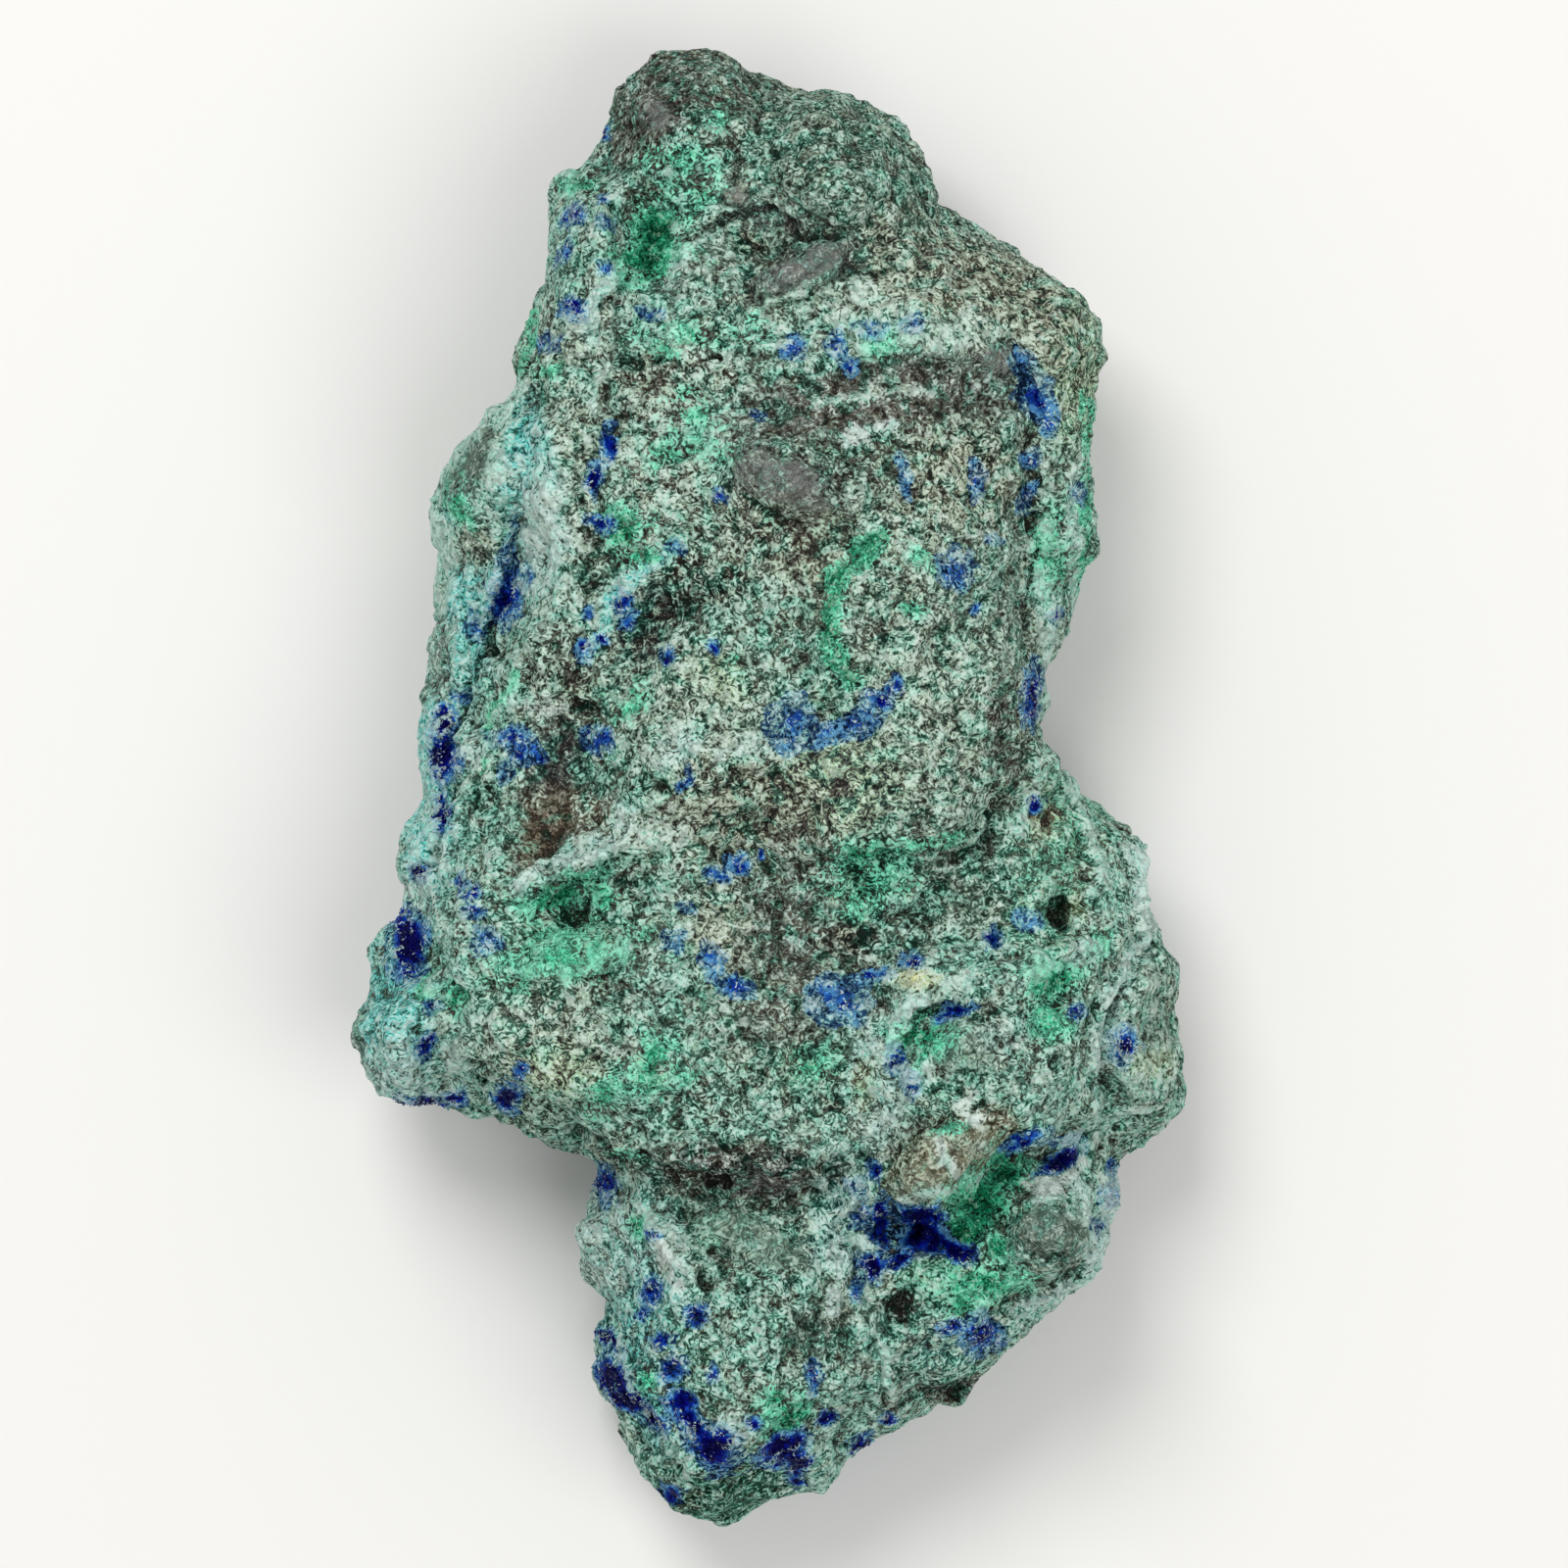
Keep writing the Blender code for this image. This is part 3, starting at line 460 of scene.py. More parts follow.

# %% [markdown]
# ## Where each mineral is
#
# The minerals don't follow the form, so they are painted on: ovals and lines on the
# drawing, each with a strength. An oval is 1 in its middle and half that on its edge, and the
# material later breaks the edge up with noise. Azurite and malachite share one rule: the
# stronger the paint, the deeper the colour, so a faint oval is light blue or mint. An oval is
# written as its x, y, half-length and half-width, its turn where it has one, and its strength.

# %% Azurite
AZURITE = (
    # the left seam and lump
    (-28.7, -12.9, 1.5, 2.7, 1), (-25.8, 2.5, 1.2, 2.2, 1), (-25.7, 5.3, 0.8, 1, 1),
    (-20.7, 15.4, 1.4, 2.3, 0.78), (-20.6, 19.2, 0.6, 2.5, -15, 0.66), (-19.3, 16.6, 0.8, 1.2, 0.72),
    (-27.6, -7, 1.1, 0.8, 0.95), (-25.9, -2.8, 0.8, 1.3, 0.95), (-26.3, -1.2, 0.5, 0.5, 1),
    (-28.8, -10.8, 0.7, 0.6, 0.9), (-24.3, 7.3, 0.8, 0.6, 0.62), (-23.2, 12.8, 1, 1.3, 0.62),
    (-27.2, -21, 0.6, 0.9, 0.88), (-26.6, -17.6, 0.7, 0.7, 0.85), (-29.5, -25.7, 1, 0.6, 1),
    (-27.4, -25.7, 1.3, 0.6, 1), (-25.2, -25.2, 1.1, 0.6, 30, 0.95), (-20.4, -25, 1.3, 1.1, 1),
    (-19.3, -22.7, 0.6, 0.8, 0.75), (-23.4, -8.7, 0.7, 0.6, 0.8), (-23, -10.2, 0.9, 0.6, 0.75),
    (-24.2, -7.8, 0.6, 0.5, 0.75), (-22, -12.5, 1.2, 1, 0.55), (-28, -15.4, 0.5, 0.4, 0.8),
    # the left vein
    (-13, 20.9, 1.1, 0.8, 0.85), (-12.3, 27.2, 0.7, 1.4, 0.8), (-11.9, 28.8, 0.6, 0.5, 0.85),
    (-13.2, 24.6, 0.7, 1.1, 0.9), (-11, 14.9, 0.8, 1, 0.85), (-12.6, 11.6, 0.6, 0.5, 0.8),
    (-14, 10.8, 0.8, 0.7, 0.75), (-14.2, 13.8, 0.6, 0.5, 0.8), (-13.1, 3.4, 1.2, 1, 0.75),
    (-20.3, 3.8, 1.9, 0.7, 0.62), (-19.5, 2.7, 1.1, 1, 0.75), (-20.8, 0.9, 0.6, 1, 0.58),
    (-18.2, 2.7, 0.9, 0.8, 0.8), (-7.7, 10.3, 0.6, 0.5, 0.85), (-10.6, 13.2, 0.9, 0.7, 30, 0.72),
    (-4, 11, 0.7, 0.6, 0.85), (-6.2, 0.3, 0.4, 0.8, 0.75),
    # the upper left
    (-15, 45.5, 1.2, 0.9, 0.7), (-12.8, 47.2, 0.6, 0.5, 0.75), (-12.3, 45, 0.8, 0.7, 0.55),
    (-15.9, 42.6, 1.2, 0.5, 60, 0.65), (-12.7, 41.7, 0.5, 0.5, 0.8), (-15.2, 38, 1, 0.9, 0.74),
    (-17.2, 35.7, 1.1, 0.7, 0.65), (-8.9, 37.4, 0.7, 0.6, 0.75), (-12.8, 53, 0.5, 0.5, 0.75),
    # the plateau
    (21, 33.6, 1.1, 1.3, 20, 0.56), (22.1, 31, 1.4, 2.4, 20, 0.66), (22.8, 28.9, 0.9, 1.1, 20, 0.62),
    (21.5, 26.4, 0.9, 0.7, 0.64), (21, 22.8, 0.5, 1.1, 0.62), (21.8, 7.5, 0.7, 2.8, -4, 0.78),
    (22.2, -1.3, 0.7, 0.6, 1), (15.6, 17.2, 1.4, 1.4, 0.68), (18.5, 19.7, 0.8, 0.5, 0.7),
    (17, 24.3, 0.6, 1.6, 0.6), (11.3, 24.5, 0.7, 1.7, 0.52), (25.5, 23.5, 0.6, 0.9, 0.65),
    (23.5, 13.9, 0.7, 0.6, 0.8), (17, 14.3, 0.5, 0.4, 0.75), (2.3, 35, 0.9, 0.8, 0.7),
    (5.8, 35, 0.8, 1, 0.7), (7.2, 33.6, 0.6, 0.5, 0.62), (8.5, 36.3, 1.3, 0.7, 0.55),
    (12, 36.6, 1.2, 0.6, 0.58), (-0.3, 29.8, 0.6, 0.5, 0.7), (-3.4, 23.3, 0.7, 0.6, 0.65),
    (-6.6, 19, 0.7, 0.6, 0.65), (9, 6.9, 1.3, 1, 0.72), (10.4, 7.9, 0.8, 0.7, 0.70),
    (7.2, 4.6, 2.2, 1.1, 25, 0.64), (2.3, 5, 1.9, 2, 0.50), (4.8, 3.9, 1.2, 0.8, 20, 0.54),
    # under the plateau
    (6.3, -17, 2.3, 1.8, 0.64), (9, -15.2, 1.3, 0.6, 0.75), (-2, -16.3, 1.4, 0.8, 0.7),
    (-4, -13.8, 0.9, 1.7, 0.6), (-7.3, -12.2, 1, 0.8, 0.52), (-6, -9.8, 0.8, 0.6, 0.55),
    (-2, -6.3, 0.9, 0.8, 0.72), (-3.6, -7.5, 0.7, 0.6, 0.7), (-0.1, -5.5, 0.4, 0.4, 0.8),
    # the lower right
    (15.5, -18.2, 1.9, 0.5, 30, 0.85), (10.6, -21.8, 0.9, 1.3, 0.8), (11.8, -24, 0.6, 1.3, 0.72),
    (12, -13.8, 1.1, 0.5, 25, 0.8), (18.3, -12.4, 0.8, 0.7, 0.8), (21.2, -10.7, 1, 0.9, 0.5),
    (25.5, -18.3, 0.5, 0.5, 0.75), (29, -21, 1.2, 1.6, 0.85), (23.8, -30.3, 2.1, 0.8, 25, 1),
    (21, -28.5, 1.8, 0.6, 30, 0.8), (24, -28.4, 2, 0.4, 0.6), (28.2, -33.3, 1.1, 0.9, 0.74),
    (28.3, -31.2, 0.4, 0.7, 0.75), (26.8, -35.6, 0.5, 0.5, 0.8), (17.7, -44.3, 1.6, 1.8, 0.88),
    (15, -43.4, 1.1, 0.9, 0.85),
    # the azurite pocket
    (12.8, -36.3, 1.7, 1.7, 1), (12.8, -34.4, 1.8, 0.9, 1), (15.4, -37.2, 2, 1, -20, 1),
    (9.5, -35, 0.8, 2.4, 0.9), (8.7, -38.7, 1.2, 1.1, 1), (11, -38.3, 1.3, 0.6, 20, 0.95),
    (9, -31, 0.6, 0.6, 0.85), (7.5, -32.3, 0.8, 1, 0.6), (7.8, -34.7, 0.9, 0.8, 0.78),
    # the lower block
    (-12.7, -32.3, 1, 1.7, 0.8), (-12.7, -45, 1.6, 0.6, -25, 0.95), (-12.2, -47.9, 1.6, 1.4, -35, 1),
    (-10.7, -49.6, 1.9, 1.1, -35, 1), (-8.8, -51.2, 1.2, 0.9, -30, 1), (-6.4, -49.7, 1.2, 0.9, 0.95),
    (-5.6, -51.3, 0.9, 1.7, 25, 0.95), (-3.9, -53.2, 2.4, 1.6, -35, 1), (1.6, -53.4, 2.2, 1.2, 24, 0.95),
    (2.9, -54.6, 1, 1.4, 1), (2.6, -56.3, 0.6, 0.6, 0.9), (4, -47.6, 0.7, 1.4, 0.78),
    (7.9, -53.6, 0.9, 1.2, 1), (10.2, -51.4, 0.8, 0.6, 0.85), (-7, -46.8, 1.3, 0.9, 30, 0.85),
    (-4, -47, 0.5, 1, 0.75), (-5.3, -42.6, 1.2, 0.8, 0.85), (-9, -40.6, 0.8, 1.2, 0.85),
    (-9.5, -42.5, 0.5, 0.8, 0.7), (-8, -44.8, 1.1, 0.6, 0.8), (-8.9, -36.2, 0.7, 0.5, 0.75),
    (-7.3, -57.2, 0.9, 0.7, 0.85), (-0.6, -51.3, 0.6, 0.7, 0.9), (5.4, -51, 0.7, 0.6, 0.9),
    (7.4, -40.5, 0.5, 0.8, 0.75),
)

# %% Malachite
MALACHITE = (
    (-8.4, 44.4, 1.7, 2.4, 1), (-9.2, 42, 2.2, 1.5, 1), (-11, 42.3, 1, 0.9, 0.85),
    (-15, 48.3, 1.6, 0.8, 0.7), (-6.5, 50.3, 2.3, 0.9, 0.6), (-5.5, 48.2, 2, 1.4, 0.55),
    (-7.3, 35.6, 2.5, 0.9, 0.65), (-5.3, 29.6, 2.1, 1.5, 0.58), (-6, 26.3, 3, 1.1, 0.46),
    (-10.9, 20.8, 1.6, 1.4, 0.85), (-9.3, 18.5, 1.9, 1, 0.78), (-24.4, 23, 0.7, 1.4, 0.85),
    (-23.6, 21.7, 0.8, 0.7, 0.7), (-17.3, 33.3, 1.4, 0.6, 0.7), (-1, 36.7, 1.2, 0.9, 0.62),
    (9.5, 35, 1.4, 0.9, 0.4), (12.5, 17.8, 1.1, 0.9, 0.72), (12, 14.2, 1.2, 0.6, 0.65),
    (23.4, 19, 1.2, 3.2, 0.68), (-10.3, 6.5, 1.6, 0.8, 60, 0.6), (-2, 9.7, 0.6, 0.6, 0.65),
    (-17, -9.2, 2.2, 1.3, 0.85), (-14.5, -7.4, 1.8, 0.9, 10, 0.6), (-12.8, -9.2, 1, 1.2, 0.75),
    (-15.5, -13.7, 5, 1.8, 12, 0.58), (-8.5, -22.3, 2, 1.9, 0.68), (-12.5, -25, 1.8, 0.9, 45, 0.6),
    (-24.5, -17.2, 0.9, 1.1, 0.75), (-27, -15.8, 1, 1, 0.8), (8.5, -7.8, 3, 2.4, 0.5),
    (12.6, -20.3, 2.2, 1.3, 0.85), (23, -15.8, 2, 1.3, 0.85), (23.3, -18.8, 1.6, 1.4, 0.72),
    (26.8, -12.5, 0.8, 1.1, 0.7), (19.5, -31, 1.4, 1.7, 0.9), (17.5, -33.2, 2.3, 1.4, 1),
    (16.5, -35.4, 1.8, 1.3, 1), (17.5, -39.8, 2.9, 1.3, 0.85), (15.8, -41.5, 1.7, 0.9, 0.75),
    (19.2, -37, 0.8, 0.7, 0.85), (2, -51, 1.5, 1.1, 30, 0.95), (1, -49.2, 1, 0.9, 0.9),
    (-10.3, -35.5, 0.8, 1, 0.8), (-9.2, -47.5, 0.7, 0.6, 0.72), (-11.5, -29.6, 1.2, 0.6, 0.4),
    (15, -27.3, 1.2, 0.5, 20, 0.55), (4, -22.5, 1.6, 1, 0.55), (-4.5, 53.2, 1.6, 0.8, 20, 0.36),
)
# Each line: half-width, strength, and the points that it runs through.
MALACHITE_LINES = (
    (0.9, 0.75, ((9.5, 19.8), (6.3, 17), (5.5, 14), (5.8, 10.5), (7, 8.5))),
    (0.45, 0.7, ((-19.8, 9), (-21.3, 6.5), (-22.8, 1))),
    (0.55, 0.6, ((6.6, -5.6), (11, -5), (16.5, -4.2))), (0.5, 0.6, ((-18.5, 38), (-19.3, 33.5))),
    (0.5, 0.6, ((25.8, 15), (26.3, 25), (26.2, 31))),
)

# %% Tints of the crust, and what lies under it
# The chart: red, green and blue from 0 to 255.
CHART = {
    "mint": (146, 198, 180), "cream": (178, 200, 180), "cyan": (96, 204, 198), "white": (168, 206, 198),
    "sage": (138, 170, 152), "grass": (106, 188, 152), "dull": (120, 136, 126), "straw": (176, 202, 162),
    "tan": (184, 190, 166), "dust": (146, 138, 122), "ash": (134, 138, 134), "snow": (196, 209, 203),
    "moss": (64, 90, 76), "fog": (84, 106, 94), "brown": (76, 76, 66), "violet": (118, 118, 116),
    "rust": (126, 112, 94), "slate": (74, 79, 78), "drab": (104, 104, 92), "ochre": (104, 98, 76),
    "limonite": (86, 94, 42), "pine": (24, 86, 62), "umber": (48, 52, 46), "teal": (52, 104, 102),
    "night": (52, 70, 80), "sky": (92, 150, 172), "fern": (26, 92, 76), "clay": (98, 86, 80),
    "lemon": (200, 206, 148), "aqua": (118, 206, 182), "sand": (166, 180, 156), "dusk": (36, 70, 112),
}
# Each zone: an oval with its strength, the rock's colour, the crust's colour, and the share of
# the rock that the crust covers.
ZONES = (
    # the top knob and the dome beside it
    (-6, 57, 8, 5, 0.95, "brown", "dull", 0.34), (7, 50, 9, 8, -30, 0.95, "moss", "sage", 0.42),
    (6.4, 44.2, 3.4, 2, 0.7, "moss", "sage", 0.58), (-3.5, 58, 1.6, 2, 0.7, "moss", "sage", 0.5),
    (-5, 49, 5, 4, 0.8, "moss", "mint", 0.52), (-10.4, 51.5, 2, 4, 0.8, "brown", "dull", 0.30),
    (-8.6, 53.9, 1.3, 1.4, 1, "violet", "ash", 0.12), (-2, 47.3, 0.9, 1.2, 1, "ash", "dust", 0.25),
    (1.5, 45.8, 3, 1.6, 0.8, "violet", "sage", 0.56), (3.4, 41.1, 4, 1.7, 25, 1, "violet", "ash", 0.12),
    (-4.5, 41.5, 3, 3, 0.8, "fog", "sage", 0.55), (-0.6, 43.3, 1.6, 0.8, 0.9, "umber", "tan", 0.42),
    # the upper left and the band under the knob
    (-14.5, 43, 4, 8, 10, 0.9, "moss", "mint", 0.60), (-16, 34, 4, 4, 0.75, "moss", "cream", 0.58),
    (12, 37.4, 11, 2.6, -4, 0.95, "fog", "cream", 0.78), (6, 35.7, 9, 1.5, 4, 0.95, "fog", "mint", 0.72),
    (20, 40, 6, 3, -35, 0.85, "brown", "tan", 0.44), (12, 42, 4, 3, -30, 0.7, "brown", "tan", 0.52),
    (25.5, 33, 2.4, 6, 0.8, "moss", "straw", 0.5), (14.4, 38.3, 1.6, 0.9, 10, 0.9, "ochre", "tan", 0.45),
    (-18.6, 32.3, 0.9, 1, 0.9, "brown", "dull", 0.2), (-13, 36, 1.4, 3, -20, 0.7, "moss", "cream", 0.56),
    (-9, 37, 3, 2.4, 0.75, "fog", "mint", 0.74),
    # the plateau
    (-6, 27, 6, 8, 0.85, "brown", "cream", 0.64), (-3, 28, 4, 2.8, 0.9, "fog", "mint", 0.88),
    (-8, 32.8, 5, 1.6, 0.95, "brown", "cream", 0.36), (8.6, 30.6, 11, 2.8, 8, 1, "drab", "ash", 0.34),
    (15, 24, 6, 5, 0.85, "brown", "tan", 0.52), (1.5, 24.2, 4.4, 2.3, -27, 1, "violet", "ash", 0.08),
    (8.5, 25.5, 4, 3, 0.7, "brown", "sage", 0.4), (19, 34.2, 2, 1.2, 0.95, "violet", "ash", 0.4),
    (23.6, 36, 2.2, 3, 0.8, "brown", "tan", 0.5), (3, 17.5, 5, 4.5, 0.85, "drab", "tan", 0.5),
    (0.5, 20.6, 3.8, 2.4, -28, 0.9, "brown", "cream", 0.34), (12, 17, 5, 5, 0.8, "moss", "cream", 0.6),
    (19, 12, 5, 8, 0.85, "fog", "sage", 0.55), (13, 5, 8, 8, 0.85, "moss", "cream", 0.58),
    (19.6, 4.5, 1.6, 4.6, 0.8, "brown", "dull", 0.3), (-1, 14, 5, 3, 0.7, "moss", "mint", 0.6),
    (5.5, 0, 5, 4.4, 0.8, "slate", "straw", 0.45), (-9.5, 12.8, 3, 3.4, 20, 0.8, "night", "sage", 0.46),
    (-5, 17, 4, 1.8, -25, 0.95, "umber", "cream", 0.3), (-7, 14, 5, 1.6, 30, 0.85, "umber", "sage", 0.3),
    (-5, 6, 6, 5, 0.85, "moss", "cream", 0.62), (-1, -2, 7, 4.4, 0.85, "brown", "tan", 0.46),
    (-6.4, 3.2, 2.2, 1.3, 30, 1, "fog", "white", 0.8),
    (-3, 8.6, 2.4, 1.4, -30, 0.7, "moss", "straw", 0.6),
    # the left flank
    (-15.6, 25, 2.4, 8, 0.85, "moss", "cream", 0.54), (-19, 25.5, 2.2, 5.6, 1, "teal", "cyan", 0.82),
    (-23.4, 26, 2, 3.4, -25, 0.95, "fog", "dull", 0.3), (-25, 14, 3, 8, 0.9, "teal", "cyan", 0.76),
    (-24, 16.2, 2.6, 1.9, 1, "teal", "cyan", 0.92), (-26.2, 10.5, 1.2, 4, 0.9, "ash", "sage", 0.5),
    (-26.6, 4.6, 1.6, 2.4, 0.9, "night", "cyan", 0.86), (-23.6, 19.4, 2.2, 1.6, 0.8, "fog", "tan", 0.42),
    (-18.5, 14, 3, 4, 0.8, "fog", "mint", 0.66), (-17.8, 20, 2.2, 5, 1, "fog", "white", 1.05),
    (-16, 8.6, 3.4, 3.6, 0.95, "umber", "cream", 0.40), (-17.8, 6.2, 2.2, 0.8, 1, "fog", "snow", 0.8),
    (-16.4, 1.8, 2.6, 2.6, 1, "slate", "ash", 0.14), (-16.8, -3.2, 2.7, 3, 1, "rust", "dust", 0.22),
    (-19.4, -6.2, 1.8, 1.6, 40, 0.95, "rust", "tan", 0.50),
    (-12.8, -2.3, 1.4, 1.3, 0.9, "rust", "cream", 0.36),
    (-10, -4.6, 4, 2.2, 0.9, "brown", "cream", 0.86), (-23, -2, 3, 8, 0.8, "moss", "mint", 0.56),
    (-27, -4, 2.2, 7, 0.95, "teal", "cyan", 0.88), (-23.4, 3.6, 1, 2.6, -15, 0.8, "fog", "white", 0.7),
    (-13.9, -4.9, 1.8, 1.2, 1, "fog", "white", 0.85),
    # the waist and the left lobe
    (-17, -9.5, 6, 3.4, 0.8, "moss", "mint", 0.6), (-15, -13.6, 6.5, 3, 8, 0.9, "pine", "grass", 0.62),
    (-17, -20, 8, 4.6, 0.9, "moss", "cream", 0.56), (-16.5, -23.6, 4, 3, 0.8, "brown", "straw", 0.5),
    (-24, -14, 2.6, 8, 0.85, "fog", "mint", 0.66), (-30, -19, 4, 7, 1, "fog", "cyan", 0.62),
    (-28.8, -23.6, 4.2, 3, 0.85, "fog", "white", 0.78), (-33.4, -19.5, 1.2, 4, 0.9, "fog", "dull", 0.5),
    (-28.6, -9, 1.6, 2, 0.8, "fog", "white", 0.8), (-27.4, -9.7, 1.2, 0.8, 0.8, "violet", "white", 0.55),
    (-6, -20, 7, 4, 0.7, "moss", "sage", 0.56), (-9, -15.6, 4, 4.6, 0.8, "fog", "mint", 0.66),
    (-4, -25.6, 7, 2.2, 0.8, "moss", "mint", 0.54),
    # below the plateau
    (1.8, -13, 4.4, 9, 0.95, "brown", "dull", 0.48), (-3.4, -11.6, 2.6, 3, 0.8, "fog", "tan", 0.6),
    (3.8, -22.6, 2.4, 2.2, 0.8, "moss", "grass", 0.5), (7.6, -12, 1.8, 1.4, 1, "umber", "dust", 0.12),
    (8.6, -7.8, 2.4, 3, 0.9, "pine", "grass", 0.4), (16, -8.6, 6, 3.6, 0.85, "moss", "sage", 0.42),
    (24.5, -5, 4, 6, 0.85, "fog", "grass", 0.56), (22, -12, 3, 2.4, 0.7, "pine", "grass", 0.64),
    (11.6, -10, 3, 2, 20, 0.7, "moss", "mint", 0.5), (16, -14.4, 6, 2, 10, 0.8, "fog", "mint", 0.62),
    (12.4, -15.4, 2, 1, 1, "ochre", "lemon", 0.9), (22.6, -2.8, 1.4, 1.6, 1, "rust", "straw", 0.55),
    (25.2, -9.8, 1, 1.2, 0.9, "limonite", "straw", 0.5),
    (28, -10, 2.4, 5, -15, 0.85, "fog", "mint", 0.66),
    (17.8, -20.6, 2.6, 2.8, 0.9, "moss", "sage", 0.38), (19.5, -20, 3, 1.6, 0.6, "fog", "white", 0.6),
    (9.2, -24, 2.2, 5.4, 0.95, "fog", "white", 0.84), (5, -28.4, 3, 1.4, 0.8, "fog", "mint", 0.64),
    (8.2, -24, 0.8, 2, 0.8, "ochre", "straw", 0.6), (21.5, -25, 4, 3.2, 0.85, "fog", "mint", 0.62),
    (31.6, -20, 2.4, 6, 0.95, "fog", "sage", 0.72), (31.6, -22.4, 1.6, 1.2, 0.8, "ochre", "straw", 0.72),
    (27, -24.5, 2.4, 3, 0.8, "fog", "mint", 0.72), (15, -30, 5, 3.2, 28, 1, "ochre", "tan", 0.22),
    (18.6, -27.2, 2.2, 1.7, 20, 0.9, "ochre", "tan", 0.42),
    # the lower block
    (-2, -31, 7.4, 2.2, 0.95, "umber", "ash", 0.26),
    (-11.4, -29.7, 2.6, 1.1, -12, 0.9, "umber", "dull", 0.42),
    (0.2, -32.2, 2.6, 0.8, 8, 1, "violet", "ash", 0.2),
    (-0.8, -36.4, 6, 2.6, -24, 0.95, "fog", "sage", 0.52),
    (6.4, -36, 2.6, 5, 0.9, "teal", "white", 0.82), (-10, -40, 3, 6, 0.85, "teal", "cyan", 0.62),
    (-13, -26.6, 5, 1.5, -10, 0.8, "fog", "mint", 0.62),
    (15.5, -39.4, 3.4, 2, 0.8, "pine", "grass", 0.7), (0, -41.6, 6, 3, 0.8, "moss", "mint", 0.54),
    (-12.6, -37.6, 2.8, 5, 0.95, "fog", "white", 0.72), (-8, -37, 2, 2.4, 0.8, "fog", "white", 0.62),
    (-4, -46.6, 5.4, 4, 0.9, "moss", "mint", 0.52), (5, -44.4, 3.6, 1.8, -8, 0.95, "fog", "dull", 0.24),
    (-10, -48.6, 1.8, 6, 25, 0.9, "teal", "cyan", 0.36), (-2, -50.5, 3, 3, 0.7, "moss", "mint", 0.5),
    (-4, -57, 7, 2.8, 0.95, "pine", "mint", 0.22), (5, -55, 4, 3, 0.8, "teal", "mint", 0.62),
    (8, -48, 4, 4.6, 0.85, "fog", "mint", 0.6), (14, -45.4, 4, 2.6, 0.85, "teal", "mint", 0.62),
    (11.2, -42, 1.6, 1.2, 1, "umber", "dull", 0.2), (15.6, -48.8, 2.6, 1.4, 1, "umber", "dull", 0.16),
    (5.8, -41, 1, 3, 0.8, "fog", "dust", 0.45), (10.8, -48.4, 0.9, 3.6, -8, 0.7, "brown", "dull", 0.4),
    (17, -34, 3, 3, 0.9, "pine", "grass", 0.4), (23.6, -36.4, 3.4, 2.4, -30, 1, "fog", "dull", 0.32),
    (21, -41, 3, 1.8, 20, 0.8, "fog", "sage", 0.5), (12, -36.4, 4.4, 2.2, 0.9, "night", "sage", 0.2),
    (26.4, -33, 1.6, 3, 0.85, "fog", "mint", 0.76), (27.4, -38, 1.4, 4, -12, 1, "fog", "white", 0.88),
)
